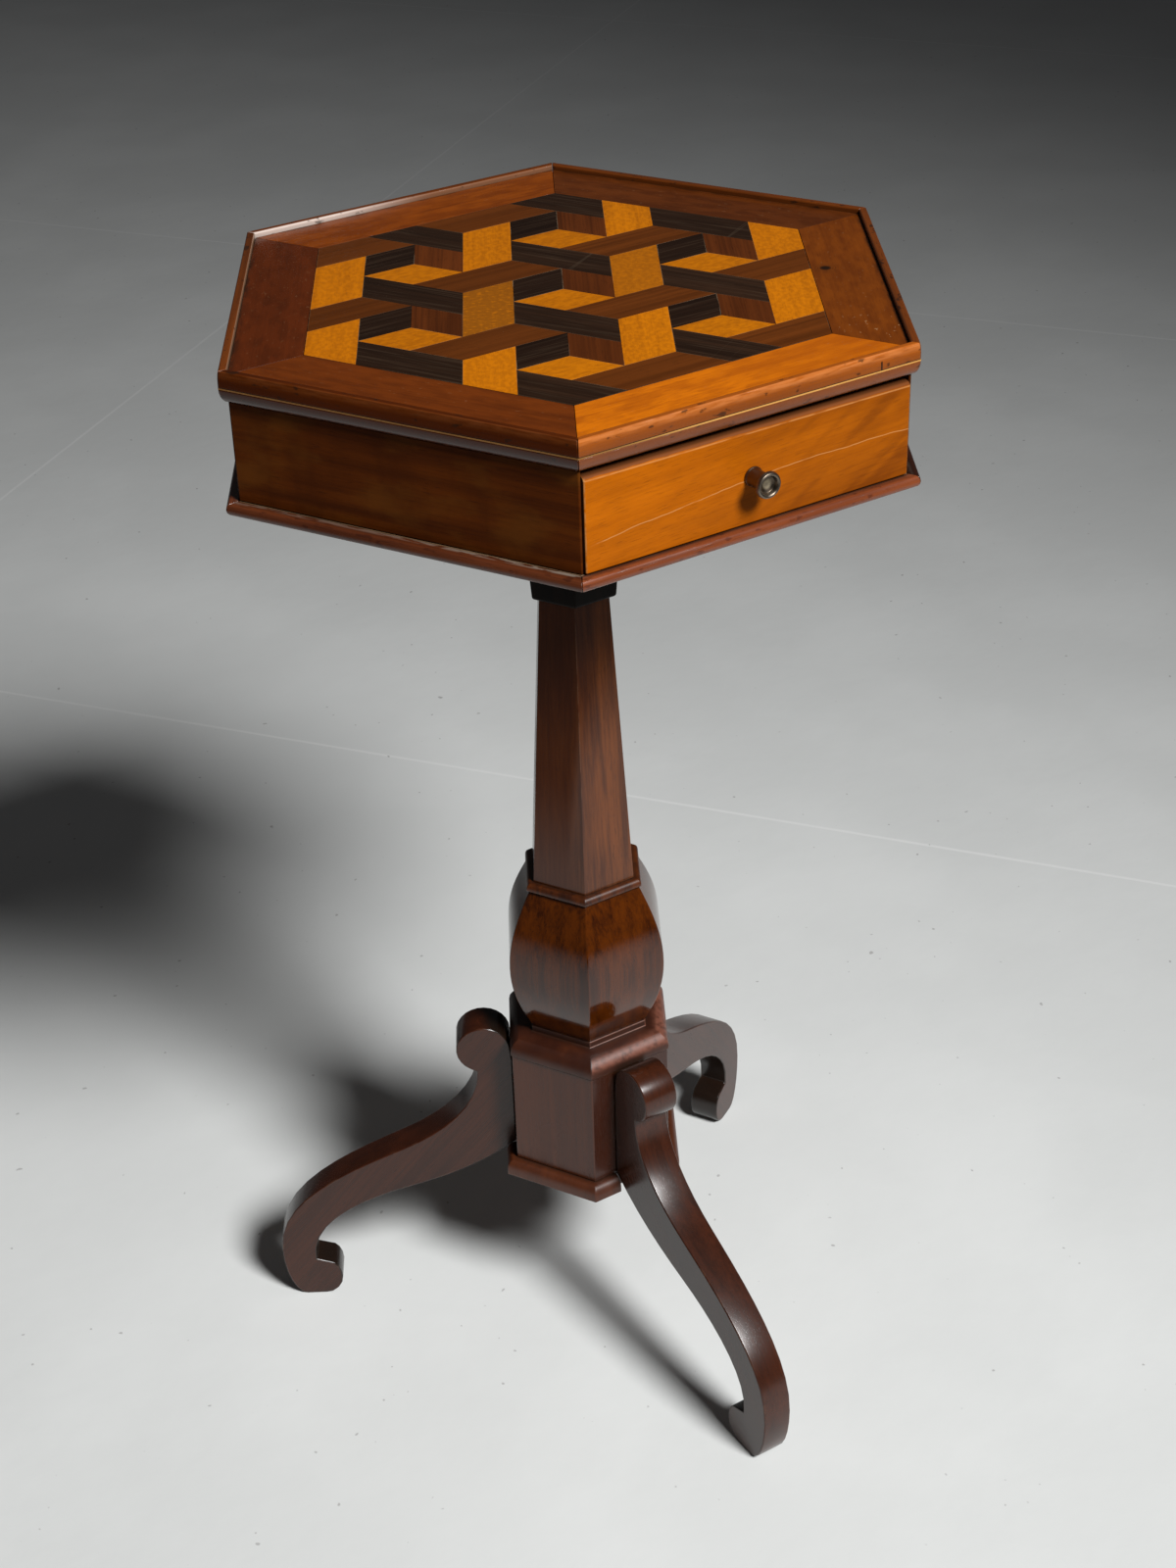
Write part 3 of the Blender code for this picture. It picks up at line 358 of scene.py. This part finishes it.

# The shaft is a tapering hexagon of straight-grained mahogany, planed flat and tenoned at both ends.
# Its side towards the light is painted paler and the far side darker as light and shade, and its polish has
# gone thin towards the top.
SHAFT_PALE = (0.135, 0.037, 0.007, 1)
SHAFT_DARK = (0.048, 0.012, 0.003, 1)
SHAFT_PAINTED_SHADE = (0.044, 0.0095, 0.002, 1)
SHAFT_LIGHT_SIDE = facing(-75)
SHAFT_LIGHT_SPAN = (0.012, 0.026)
FILM_FADES = (0.030, 0.115)
FILM_HIGHER = 0.085
surface, place, spot, colour, pores = timber("shaft_mahogany", UP, facing(-90),
                                             SHAFT_PALE, SHAFT_DARK, 30, bands=130)
# Painted light and shade: the shaft is paler on the side towards the softbox and darker away from it.
lit_side = (place.along(SHAFT_LIGHT_SIDE) - axis.dot(SHAFT_LIGHT_SIDE)).fade(*SHAFT_LIGHT_SPAN)
colour = mixed(SHAFT_PAINTED_SHADE, colour, 0.35 + lit_side * 0.65)
scuffs = rubbed(place, reach=0.0012) * spot.noise((40, 60, 60), detail=3).fade(0.52, 0.64)
polished(surface, spot, mixed(colour, SCUFF, scuffs * 0.4), pores, gloss=0.18, shine=0.1)
film_end = place.along(UP) - lit_side * FILM_HIGHER
film = 1 - film_end.fade(shaft_low[2] + FILM_FADES[0], shaft_low[2] + FILM_FADES[1])
shaft_shader = surface.node_tree.nodes["Principled BSDF"]
(film * 0.75).feed(shaft_shader, "Coat Weight")
shaft_shader.inputs["Coat Roughness"].default_value = 0.18
eased("shaft", surface, edge=0.0005)

# The capital and the bearer plate carry the case. They are stained nearly black and only waxed,
# They are coloured nearly black and only waxed, since the case hides them from above.
CAPITAL_PALE = (0.008, 0.004, 0.002, 1)
CAPITAL_DARK = (0.003, 0.002, 0.0015, 1)
for seed, name in enumerate(("capital", "bearer_plate"), 40):
    surface, place, spot, colour, pores = timber(name + "_wood", UP, facing(-90),
                                                 CAPITAL_PALE, CAPITAL_DARK, seed)
    scuffs = rubbed(place, reach=0.0008) * spot.noise((30, 30, 30), detail=3).fade(0.42, 0.58)
    polished(surface, spot, mixed(colour, SCUFF, scuffs * 0.25), pores, gloss=0.30, shine=0.05)
    eased(name, surface, edge=0.0006)

# The bottom board, the drawer's guides and its kickers are plain pine, planed and left bare.
# A century of dust has browned them.
PINE_PALE = (0.34, 0.195, 0.09, 1)
PINE_DARK = (0.20, 0.105, 0.045, 1)
PINE_GRIME = (0.10, 0.06, 0.035, 1)


def bare_pine(name, grain, seed):
    """Make a CAD node unpolished pine, with grime in patches."""
    surface, place, spot, colour, pores = timber(name + "_pine", grain, UP,
                                                 PINE_PALE, PINE_DARK, seed, bands=60)
    grime = spot.noise((9, 9, 9), detail=4).fade(0.45, 0.75)
    polished(surface, spot, mixed(colour, PINE_GRIME, grime * 0.5), pores, gloss=0.55, shine=0.3)
    eased(name, surface, edge=0.0004)


bare_pine("case_bottom", facing(0), 50)
for seed, hand in enumerate(("left", "right"), 51):
    bare_pine("drawer_guide_" + hand, facing(-90), seed)
    bare_pine("drawer_kicker_" + hand, facing(-90), seed + 2)

# The frieze has five mahogany panels round the case, glued at the corners; the drawer fills the sixth side.
# They are darker than the drawer and crossed by a faint mottled figure.
SIDES = {
    "front": -90,
    "front_right": -30,
    "back_right": 30,
    "back": 90,
    "back_left": 150,
    "front_left": 210,
}
FRIEZE_PALE = (0.105, 0.023, 0.002, 1)
FRIEZE_DARK = (0.050, 0.0105, 0.0015, 1)
FRIEZE_FADED = (0.150, 0.050, 0.006, 1)
for seed, side in enumerate(list(SIDES)[1:], 60):
    angle = SIDES[side]
    surface, place, spot, colour, pores = timber("frieze_mahogany_" + side,
                                                 facing(angle + 90), facing(angle),
                                                 FRIEZE_PALE, FRIEZE_DARK, seed)
    mottle = spot.noise((60, 12, 12), detail=3).fade(0.38, 0.68)
    colour = mixed(colour, FRIEZE_DARK, mottle * 0.5)
    blotches = spot.noise((22, 45, 45), detail=5).fade(0.46, 0.66)
    colour = mixed(colour, FRIEZE_FADED, blotches * 0.4)
    polished(surface, spot, colour, pores, gloss=0.36, shine=0.05, corners=0.35)
    eased("frieze_" + side, surface, edge=0.0005)

# The base mouldings are half-round lengths of mahogany planted round the edge of the bottom board.
# Knocks have rubbed them red and chipped them, and pale dust lies behind the one at the drawer's left.
MOULDING_PALE = (0.240, 0.060, 0.018, 1)
MOULDING_DARK = (0.080, 0.019, 0.008, 1)
# Painted shade: the mouldings at the drawer's left and right are darkened, the right one almost to black.
MOULDING_PAINTED_SHADE = {"front_left": 0.52, "front_right": 0.22}
DUST = (0.34, 0.28, 0.22, 1)
DUSTY_RUN = (-0.03, 0.09)
DUSTY_WIDTH = (0.0014, 0.0042)
moulding_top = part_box("base_moulding_front")[1][2]
frieze_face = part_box("frieze_back")[1][1] - axis.y
for seed, (side, angle) in enumerate(SIDES.items(), 70):
    painted_shade = MOULDING_PAINTED_SHADE.get(side, 1)
    pale = tuple(part * painted_shade for part in MOULDING_PALE[:3]) + (1,)
    dark = tuple(part * painted_shade for part in MOULDING_DARK[:3]) + (1,)
    run = facing(angle + 90)
    surface, place, spot, colour, pores = timber("moulding_mahogany_" + side, run, facing(angle),
                                                 pale, dark, seed)
    chips = spot.noise((130, 300, 300), detail=3).fade(0.60, 0.68)
    ledge = place.along(UP).fade(moulding_top - 0.0006, moulding_top - 0.0001)
    out_from_frieze = place.along(facing(angle)) - (axis.dot(facing(angle)) + frieze_face)
    in_corner = 1 - out_from_frieze.fade(*DUSTY_WIDTH)
    crumbs = ledge * in_corner * spot.noise((90, 500, 500), detail=4).fade(0.42, 0.56)
    to_corner = (place.along(run) - axis.dot(run)).fade(*DUSTY_RUN)
    crumbs = crumbs * (0.4 + to_corner * 0.6 if side == "front_left" else 0.12)
    colour = mixed(mixed(colour, dark, chips * 0.7), DUST, crumbs * 0.8)
    polished(surface, spot, colour, pores, gloss=0.24)
    eased("base_moulding_" + side, surface, edge=0.0003)

# The drawer front is a board of bright figured mahogany under a clear polish, lapped over the drawer's sides.
# A shrinkage split, filled pale with old wax, runs along it from the lower left.
# The top edge is grimy and painted dark as shade under the rim.
DRAWER_PALE = (0.550, 0.140, 0.002, 1)
DRAWER_DARK = (0.390, 0.093, 0.001, 1)
SMEAR_AND_SHADE = (0.170, 0.050, 0.012, 1)
END_GRAIN_AND_SHADE = (0.060, 0.022, 0.009, 1)
FLAME = (0.190, 0.043, 0.002, 1)
FLAME_LEAN = math.radians(-28)
WAX = (0.58, 0.27, 0.09, 1)
SPLIT_HEIGHT = 0.6674
SPLIT_SLOPE = 0.058
SPLIT_BOW = 0.0043
SPLIT_WANDER = 0.004
front_low, front_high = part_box("drawer_front")
surface, place, spot, colour, pores = timber("drawer_front_mahogany", facing(0) + UP * 0.06, facing(-90),
                                             DRAWER_PALE, DRAWER_DARK, 80, bands=70, bold=0.7)
leaning = spot.node("ShaderNodeVectorRotate", {"rotation_type": 'Z_AXIS'},
                    {"Vector": spot, "Angle": FLAME_LEAN})
flames = leaning.noise((9, 70, 70), detail=4, twist=0.6).fade(0.40, 0.68)
front_half = (front_high[0] - front_low[0]) / 2
run = place.along(facing(0)) - (front_low[0] + front_half)
height = place.along(UP)
patches = spot.noise((40, 110, 110), detail=4).fade(0.42, 0.66)
threads = spot.noise((14, 800, 800), detail=3).fade(0.45, 0.75)
low = 1 - height.fade(front_low[2] + 0.004, front_low[2] + 0.026)
flamed = run.fade(-0.08, 0.08) * (0.46 + flames * 0.34)
colour = mixed(colour, FLAME, flamed + low * 0.22 + (patches + threads) * 0.15)
wander = spot.noise((35, 35, 35), detail=3) - 0.5
share = run * (1 / front_half)
bow = share * share * SPLIT_BOW - wander * SPLIT_WANDER
off_split = height - run * SPLIT_SLOPE + bow - (SPLIT_HEIGHT + SPLIT_BOW)
split = 1 - place.math('ABSOLUTE', off_split).fade(0.0001, 0.0004)
split = split * spot.noise((60, 60, 60), detail=3).fade(0.28, 0.50)
colour = mixed(colour, WAX, split * 0.65)
normal = place.normal()
to_side = place.math('ABSOLUTE', normal.along(facing(0)))
to_top = normal.along(UP)
worn = spot.noise((60, 200, 200), detail=3).fade(0.36, 0.56)
# Wear and painted highlight: the ends and the top arris are lightened in a pale line.
arris_wear_and_highlight = to_side.fade(0.15, 0.4) + to_top.fade(0.06, 0.16) * (1 - to_top.fade(0.25, 0.40))
colour = mixed(colour, WAX, arris_wear_and_highlight * worn * 0.5)
# Dirt and painted shade: the top edge under the rim is darkened with smears.
smears = spot.noise((70, 160, 160), detail=4) * 0.5
smear_and_shade = mixed(SMEAR_AND_SHADE, GRIME_AND_SHADE, to_top.fade(0.7, 1.0) * 0.6)
colour = mixed(colour, smear_and_shade, (to_top + smears).fade(0.60, 0.84))
# End grain and painted shade: the drawer front's ends are darkened.
colour = mixed(colour, END_GRAIN_AND_SHADE, to_side.fade(0.75, 0.9))
polished(surface, spot, colour, pores, gloss=0.34, shine=0.06, corners=0)
eased("drawer_front", surface, edge=0.0006)

# The drawer box is thin pine: two sides dovetailed to the front, a back, and a bottom slid into grooves.
# It is left unpolished, like the inside of the case.
bare_pine("drawer_side_left", facing(-90), 81)
bare_pine("drawer_side_right", facing(-90), 82)
bare_pine("drawer_back", facing(0), 83)
bare_pine("drawer_bottom", facing(0), 84)

# The knob is turned brass, dished on its face and tarnished in patches.
# Its dish is painted with a bright highlight in the middle and a dark ring round it, partly tarnish and
# partly painted shade, and its rim with a lighter painted sheen.
BRASS_PAINTED_HIGHLIGHT = (0.80, 0.69, 0.46, 1)
BRASS_RING_TARNISH_AND_SHADE = (0.10, 0.076, 0.052, 1)
BRASS_RIM_PAINTED_SHEEN = (0.20, 0.165, 0.13, 1)
BRASS_STEM = (0.130, 0.100, 0.078, 1)
DISH_ENDS = (0.0016, 0.0034)
RIM_STARTS = (0.0046, 0.0054)
STEM_STARTS = (0.0022, 0.0040)
knob_low, knob_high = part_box("drawer_knob")
knob_middle = Vector(((knob_low[0] + knob_high[0]) / 2, 0, (knob_low[2] + knob_high[2]) / 2))
brass = bpy.data.materials.new("aged_brass")
brass.use_nodes = True
brass_place = Socket(brass.node_tree).node("ShaderNodeTexCoord", out="Object")
brass_shader = brass.node_tree.nodes["Principled BSDF"]
from_middle = brass_place.distance(knob_middle, (1, 0, 1))
past_dish = from_middle.fade(*DISH_ENDS)
tarnish = brass_place.noise((420, 420, 420), detail=4).fade(0.35, 0.65)
# Painted light: a bright highlight in the dish, a dark ring round it and a lighter sheen on the rim.
brass_colour = mixed(BRASS_PAINTED_HIGHLIGHT, BRASS_RING_TARNISH_AND_SHADE, past_dish)
brass_colour = mixed(brass_colour, BRASS_RIM_PAINTED_SHEEN, from_middle.fade(*RIM_STARTS))
behind = brass_place.along(facing(90)) - knob_low[1]
brass_colour = mixed(brass_colour, BRASS_STEM, behind.fade(*STEM_STARTS))
mixed(brass_colour, BRASS_STEM, tarnish * 0.4).feed(brass_shader, "Base Color")
(0.56 + tarnish * 0.12 - past_dish * 0.22).feed(brass_shader, "Roughness")
brass_shader.inputs["Metallic"].default_value = 1
eased("drawer_knob", brass, edge=0.0001)

# The top board is the pine ground that the veneers and the rim are glued to.
# Only its underside shows, with the drawer open.
bare_pine("top_board", facing(0), 90)

# The parquetry is sawn veneers on a lattice of equal triangles: cubes seen from one corner, with bars of
# satinwood, ebonised wood and rosewood that run from cube to cube. They are glued to the top board.
FIELD_STEPS = 5
CELL_STEPS = 3
JOINT = 0.00016
VARIED = {("bar_light", 0, 0): 1.70, ("bar_light", 1, 0): 1.45}
VENEERS = {
    "cube_black": ((0, 0), (-1, 0), (-1, 1), (0, 1)),
    "cube_brown": ((0, 0), (0, 1), (1, 0), (1, -1)),
    "cube_light": ((0, 0), (1, -1), (0, -1), (-1, 0)),
    "bar_light": ((-1, 1), (-2, 1), (-2, -1), (-1, -1)),
    "bar_black": ((-1, 0), (1, -2), (1, -3), (-1, -1)),
    "bar_brown": ((0, -1), (2, -1), (3, -2), (1, -2)),
}
field_low, field_high = (Vector(corner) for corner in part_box("parquetry_panel"))
lattice_step = (field_high.x - field_low.x) / 2 / FIELD_STEPS
FIRST = facing(0) * lattice_step
SECOND = facing(60) * lattice_step


def clipped(corners, weight_a, weight_b):
    """What is left of an outline inside one edge of the field."""
    kept = []
    for (a1, b1), (a2, b2) in zip(corners, corners[1:] + corners[:1]):
        here = FIELD_STEPS - weight_a * a1 - weight_b * b1
        there = FIELD_STEPS - weight_a * a2 - weight_b * b2
        if here >= 0:
            kept.append((a1, b1))
        if here * there < 0:
            share = here / (here - there)
            kept.append((a1 + (a2 - a1) * share, b1 + (b2 - b1) * share))
    return kept


def cut_veneers(name, corners, surface, seed):
    """All the veneers of one shape, each a thin slab with a hair's joint round it."""
    draw = random.Random(seed)
    bm = bmesh.new()
    tones = bm.faces.layers.float.new("tone")
    reach = FIELD_STEPS // CELL_STEPS + 1
    for i in range(-reach, reach + 1):
        for j in range(-reach, reach + 1):
            outline = [(a + CELL_STEPS * i, b + CELL_STEPS * j) for a, b in corners]
            for weights in ((1, 0), (-1, 0), (0, 1), (0, -1), (1, 1), (-1, -1)):
                outline = clipped(outline, *weights)
            if len(outline) < 3:
                continue
            before = set(bm.faces)
            points = [axis + FIRST * a + SECOND * b + UP * field_low.z for a, b in outline]
            face = bm.faces.new([bm.verts.new(point) for point in points])
            bm.normal_update()
            ring = bmesh.ops.inset_individual(bm, faces=[face], thickness=JOINT / 2)["faces"]
            bmesh.ops.delete(bm, geom=ring, context='FACES')
            lifted = bmesh.ops.extrude_face_region(bm, geom=[face], use_keep_orig=True)["geom"]
            corners_up = [item for item in lifted if isinstance(item, bmesh.types.BMVert)]
            bmesh.ops.translate(bm, verts=corners_up, vec=UP * (field_high.z - field_low.z))
            tone = VARIED.get((name, i, j), draw.random())
            for new_face in set(bm.faces) - before:
                new_face[tones] = tone
    bmesh.ops.recalc_face_normals(bm, faces=bm.faces)
    mesh = bpy.data.meshes.new("veneers_" + name)
    bm.to_mesh(mesh)
    bm.free()
    mesh.materials.append(surface)
    thing = bpy.data.objects.new("veneers_" + name, mesh)
    bpy.context.collection.objects.link(thing)
    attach(thing, "table")
    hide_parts("parquetry_panel")


VENEER_WOODS = {
    "cube_black": ((0.029, 0.0125, 0.006, 1), (0.011, 0.0045, 0.002, 1), 0),
    "cube_brown": ((0.147, 0.034, 0.005, 1), (0.060, 0.0135, 0.002, 1), 60),
    "cube_light": ((0.620, 0.185, 0.001, 1), (0.400, 0.112, 0.001, 1), 0),
    "bar_light": ((0.680, 0.200, 0.001, 1), (0.430, 0.120, 0.001, 1), 60),
    "bar_black": ((0.039, 0.017, 0.008, 1), (0.015, 0.0065, 0.003, 1), 120),
    "bar_brown": ((0.160, 0.040, 0.005, 1), (0.082, 0.020, 0.002, 1), 0),
}
STAINED = (0.230, 0.072, 0.004, 1)
STREAK = (0.075, 0.047, 0.028, 1)
GLUE = (0.42, 0.32, 0.21, 1)
for seed, (name, corners) in enumerate(VENEERS.items(), 100):
    pale, dark, direction = VENEER_WOODS[name]
    surface, place, spot, colour, pores = timber("veneer_" + name, facing(direction), UP,
                                                 pale, dark, seed, bands=160)
    tone = place.node("ShaderNodeAttribute", {"attribute_name": "tone"}, out="Fac")
    colour = mixed(colour, dark, tone * 0.5)
    if name.endswith("light"):
        mottle = spot.noise((260, 420, 420), detail=4).fade(0.36, 0.64)
        colour = mixed(colour, mixed(dark, pale, mottle), 0.4 + mottle * 0.1)
        stained = (tone - 1).fade(0, 1)
        flecks = spot.noise((700, 260, 260), detail=4).fade(0.52, 0.70)
        colour = mixed(colour, mixed(STAINED, pale, flecks * 0.55), stained)
    if name.endswith("black"):
        streaks = spot.noise((22, 700, 700), detail=3).fade(0.50, 0.72)
        colour = mixed(colour, STREAK, streaks * 0.35)
    if name == "bar_black":
        from_crack = place.math('ABSOLUTE', spot.noise((50, 2, 2), detail=0) - 0.70)
        colour = mixed(GLUE, colour, 0.96 + from_crack.fade(0.001, 0.003) * 0.04)
    edge = rubbed(place, reach=0.0006) * spot.noise((30, 30, 30), detail=2).fade(0.42, 0.58)
    colour = mixed(colour, GLUE, edge * (0.6 if name == "cube_black" else 0.25))
    polished(surface, spot, colour, pores, gloss=0.24, shine=0.2)
    cut_veneers(name, list(corners), surface, seed)

# The border is six strips of veneer cut from different boards, mitred at the corners and glued down.
# The grain runs along each strip; the one at the front right has a dark knot, and is pitted near the front.
BANDS = {
    "front": ((0.690, 0.175, 0.002, 1), (0.400, 0.086, 0.002, 1)),
    "front_right": ((0.200, 0.046, 0.003, 1), (0.120, 0.025, 0.002, 1)),
    "back_right": ((0.135, 0.032, 0.005, 1), (0.075, 0.017, 0.003, 1)),
    "back": ((0.300, 0.064, 0.003, 1), (0.165, 0.031, 0.002, 1)),
    "back_left": ((0.117, 0.021, 0.003, 1), (0.069, 0.013, 0.002, 1)),
    "front_left": ((0.163, 0.033, 0.003, 1), (0.097, 0.019, 0.002, 1)),
}
KNOT = (0.018, 0.007, 0.003, 1)
KNOT_FROM_AXIS = Vector((0.134, -0.059, 0))
KNOT_RINGS = 4200
PIT = (0.46, 0.27, 0.13, 1)
WORN_FROM_AXIS = Vector((0.1045, -0.160, 0))
LIP_DIRT = (0.1715, 0.1752)
LEVEL = (1, 1, 0)
for seed, (side, (pale, dark)) in enumerate(BANDS.items(), 110):
    angle = SIDES[side]
    surface, place, spot, colour, pores = timber("border_" + side, facing(angle + 90), UP,
                                                 pale, dark, seed, bands=120)
    ripple = spot.noise((55, 150, 150), detail=5).fade(0.40, 0.62)
    colour = mixed(mixed(colour, pale, (1 - ripple) * 0.45), dark, ripple * 0.40)
    outward = facing(angle)
    to_lip = (place.along(outward) - axis.dot(outward)).fade(*LIP_DIRT)
    dirt = to_lip * spot.noise((60, 260, 260), detail=4).fade(0.46, 0.60)
    colour = mixed(colour, KNOT, dirt * 0.7)
    near_worn = 1 - place.distance(axis + WORN_FROM_AXIS, LEVEL).fade(0.012, 0.045)
    pits = spot.noise((240, 520, 520), detail=2).fade(0.66, 0.74)
    colour = mixed(colour, PIT, pits * (0.10 + near_worn * 0.5))
    if side == "front":
        flecks = spot.noise((110, 1300, 1300), detail=2).fade(0.54, 0.70)
        colour = mixed(colour, dark, flecks * 0.6)
        colour = mixed(colour, dark, place.along(facing(0)).fade(axis.x - 0.03, axis.x + 0.10) * 0.6)
    if side == "front_right":
        from_knot = place.distance(axis + KNOT_FROM_AXIS, LEVEL)
        rings = place.math('SINE', from_knot * KNOT_RINGS + spot.noise((90, 90, 90)) * 5) * 0.5 + 0.5
        colour = mixed(colour, KNOT, (1 - from_knot.fade(0.003, 0.011)) * rings * 0.5)
        colour = mixed(KNOT, colour, from_knot.fade(0.0018, 0.0042))
    polished(surface, spot, colour, pores, gloss=0.24, shine=0.2)
    eased("border_band_" + side, surface, edge=0.0001)

# The rim is a mahogany moulding planted round the top's edge, standing up as a low lip.
# Its edges are rubbed pale, its lip carries painted highlights and lightened inner faces, the front is
# coloured as lit and the drawer's left as shaded, and a short crack crosses it at the front.
RIM_PALE = (0.180, 0.042, 0.005, 1)
RIM_DARK = (0.090, 0.021, 0.003, 1)
# Painted light and shade: the front length is coloured bright as lit, the one at the drawer's left dark as
# shaded.
RIM_LIT_AND_SHADED_COLOURS = {
    "front": ((0.540, 0.130, 0.008, 1), (0.320, 0.074, 0.006, 1)),
    "front_left": ((0.092, 0.017, 0.001, 1), (0.048, 0.0085, 0.001, 1)),
}
RIM_UNDER = (0.098, 0.028, 0.009, 1)
RIM_INSIDE_WEAR_AND_LIGHT = {"back_left": 0.9, "back": 0.5, "front_right": 0.8}
LIP_PAINTED_HIGHLIGHT = {
    "front": ((0.66, 0.235, 0.070, 1), 0.50),
    "front_left": ((0.22, 0.065, 0.018, 1), 0.34),
}
LIP_SHOULDER = (0.0048, 0.0016)
LIP_PAINTED_GLINT = (0.80, 0.68, 0.60, 1)
CRACK_FROM_AXIS = 0.0787
CRACK_HEIGHT = 0.7134
string_low, string_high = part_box("stringing")
string_height = (string_low[2] + string_high[2]) / 2
rim_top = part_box("rim_moulding_front")[1][2]
for seed, (side, angle) in enumerate(SIDES.items(), 120):
    pale, dark = RIM_LIT_AND_SHADED_COLOURS.get(side, (RIM_PALE, RIM_DARK))
    surface, place, spot, colour, pores = timber("rim_mahogany_" + side, facing(angle + 90), facing(angle),
                                                 pale, dark, seed)
    height = place.along(UP)
    under = RIM_UNDER if side == "front" else dark
    colour = mixed(under, colour, 0.3 + 0.7 * height.fade(string_height, rim_top))
    wear = spot.noise((50, 200, 200), detail=3)
    colour = mixed(colour, SCUFF, rubbed(place, reach=0.0008) * wear.fade(0.48, 0.64) * 0.5)
    normal = place.normal()
    if side in LIP_PAINTED_HIGHLIGHT:
        highlight_colour, strength = LIP_PAINTED_HIGHLIGHT[side]
        # Painted highlight: the lip's outer shoulder is lightened in patches at the front and the drawer's
        # left.
        shoulder = height.fade(rim_top - LIP_SHOULDER[0], rim_top - LIP_SHOULDER[1])
        shoulder = shoulder * normal.along(facing(angle)).fade(0.10, 0.35)
        patchy = spot.noise((90, 700, 700), detail=5).fade(0.22, 0.66)
        colour = mixed(colour, highlight_colour, shoulder * patchy * strength)
    inward = normal.along(facing(angle + 180))
    # Wear and painted light: the lip's inner faces are lightened, partly as pale wear and partly lifting the
    # shade on them.
    colour = mixed(colour, SCUFF, inward.fade(0.4, 0.8) * RIM_INSIDE_WEAR_AND_LIGHT.get(side, 0))
    if side == "back":
        # Painted highlight: a near-white line along the inner edge of the back lip's left half.
        glint = (place.along(facing(180)) + axis.x).fade(-0.02, 0.06) * inward.fade(0.15, 0.5)
        colour = mixed(colour, LIP_PAINTED_GLINT, glint * 0.8)
    dents = spot.noise((130, 260, 260), detail=3).fade(0.62, 0.70)
    colour = mixed(colour, GRIME_AND_SHADE, dents * 0.7)
    if side == "front":
        off_crack = place.math('ABSOLUTE', place.along(facing(0)) - (axis.x + CRACK_FROM_AXIS))
        off_middle = place.math('ABSOLUTE', height - CRACK_HEIGHT)
        crack = (1 - off_crack.fade(0.0003, 0.0007)) * (1 - off_middle.fade(0.0026, 0.0034))
        colour = mixed(colour, GRIME_AND_SHADE, crack)
    shine = 0.1 if side == "front_left" else 0.4
    polished(surface, spot, colour, pores, gloss=0.20, shine=shine, corners=0.4)
    if side == "front_left":
        rim_shader = surface.node_tree.nodes["Principled BSDF"]
        above_line = height.fade(string_height - 0.002, string_height + 0.002)
        (0.8 - above_line * 0.7).feed(rim_shader, "Coat Weight")
        rim_shader.inputs["Coat Roughness"].default_value = 0.2
    eased("rim_moulding_" + side, surface, edge=0.0007)

# The stringing is a fine line of boxwood let into a groove round the rim.
# Polish and smoke have turned it gold; at the drawer's left it is painted brown as shade.
BOXWOOD_PALE = (0.74, 0.40, 0.11, 1)
BOXWOOD_DARK = (0.50, 0.22, 0.05, 1)
BOXWOOD_PAINTED_SHADE = (0.17, 0.07, 0.02, 1)
surface, place, spot, colour, pores = timber("boxwood_line", facing(0), UP, BOXWOOD_PALE, BOXWOOD_DARK, 130)
# Painted shade: the length at the drawer's left is browned.
aside = (place.along(facing(210)) - axis.dot(facing(210))).fade(0.10, 0.17)
polished(surface, spot, mixed(colour, BOXWOOD_PAINTED_SHADE, aside * 0.8), pores, gloss=0.30, shine=0.3)
nodes["stringing"].material_slots[0].material = surface
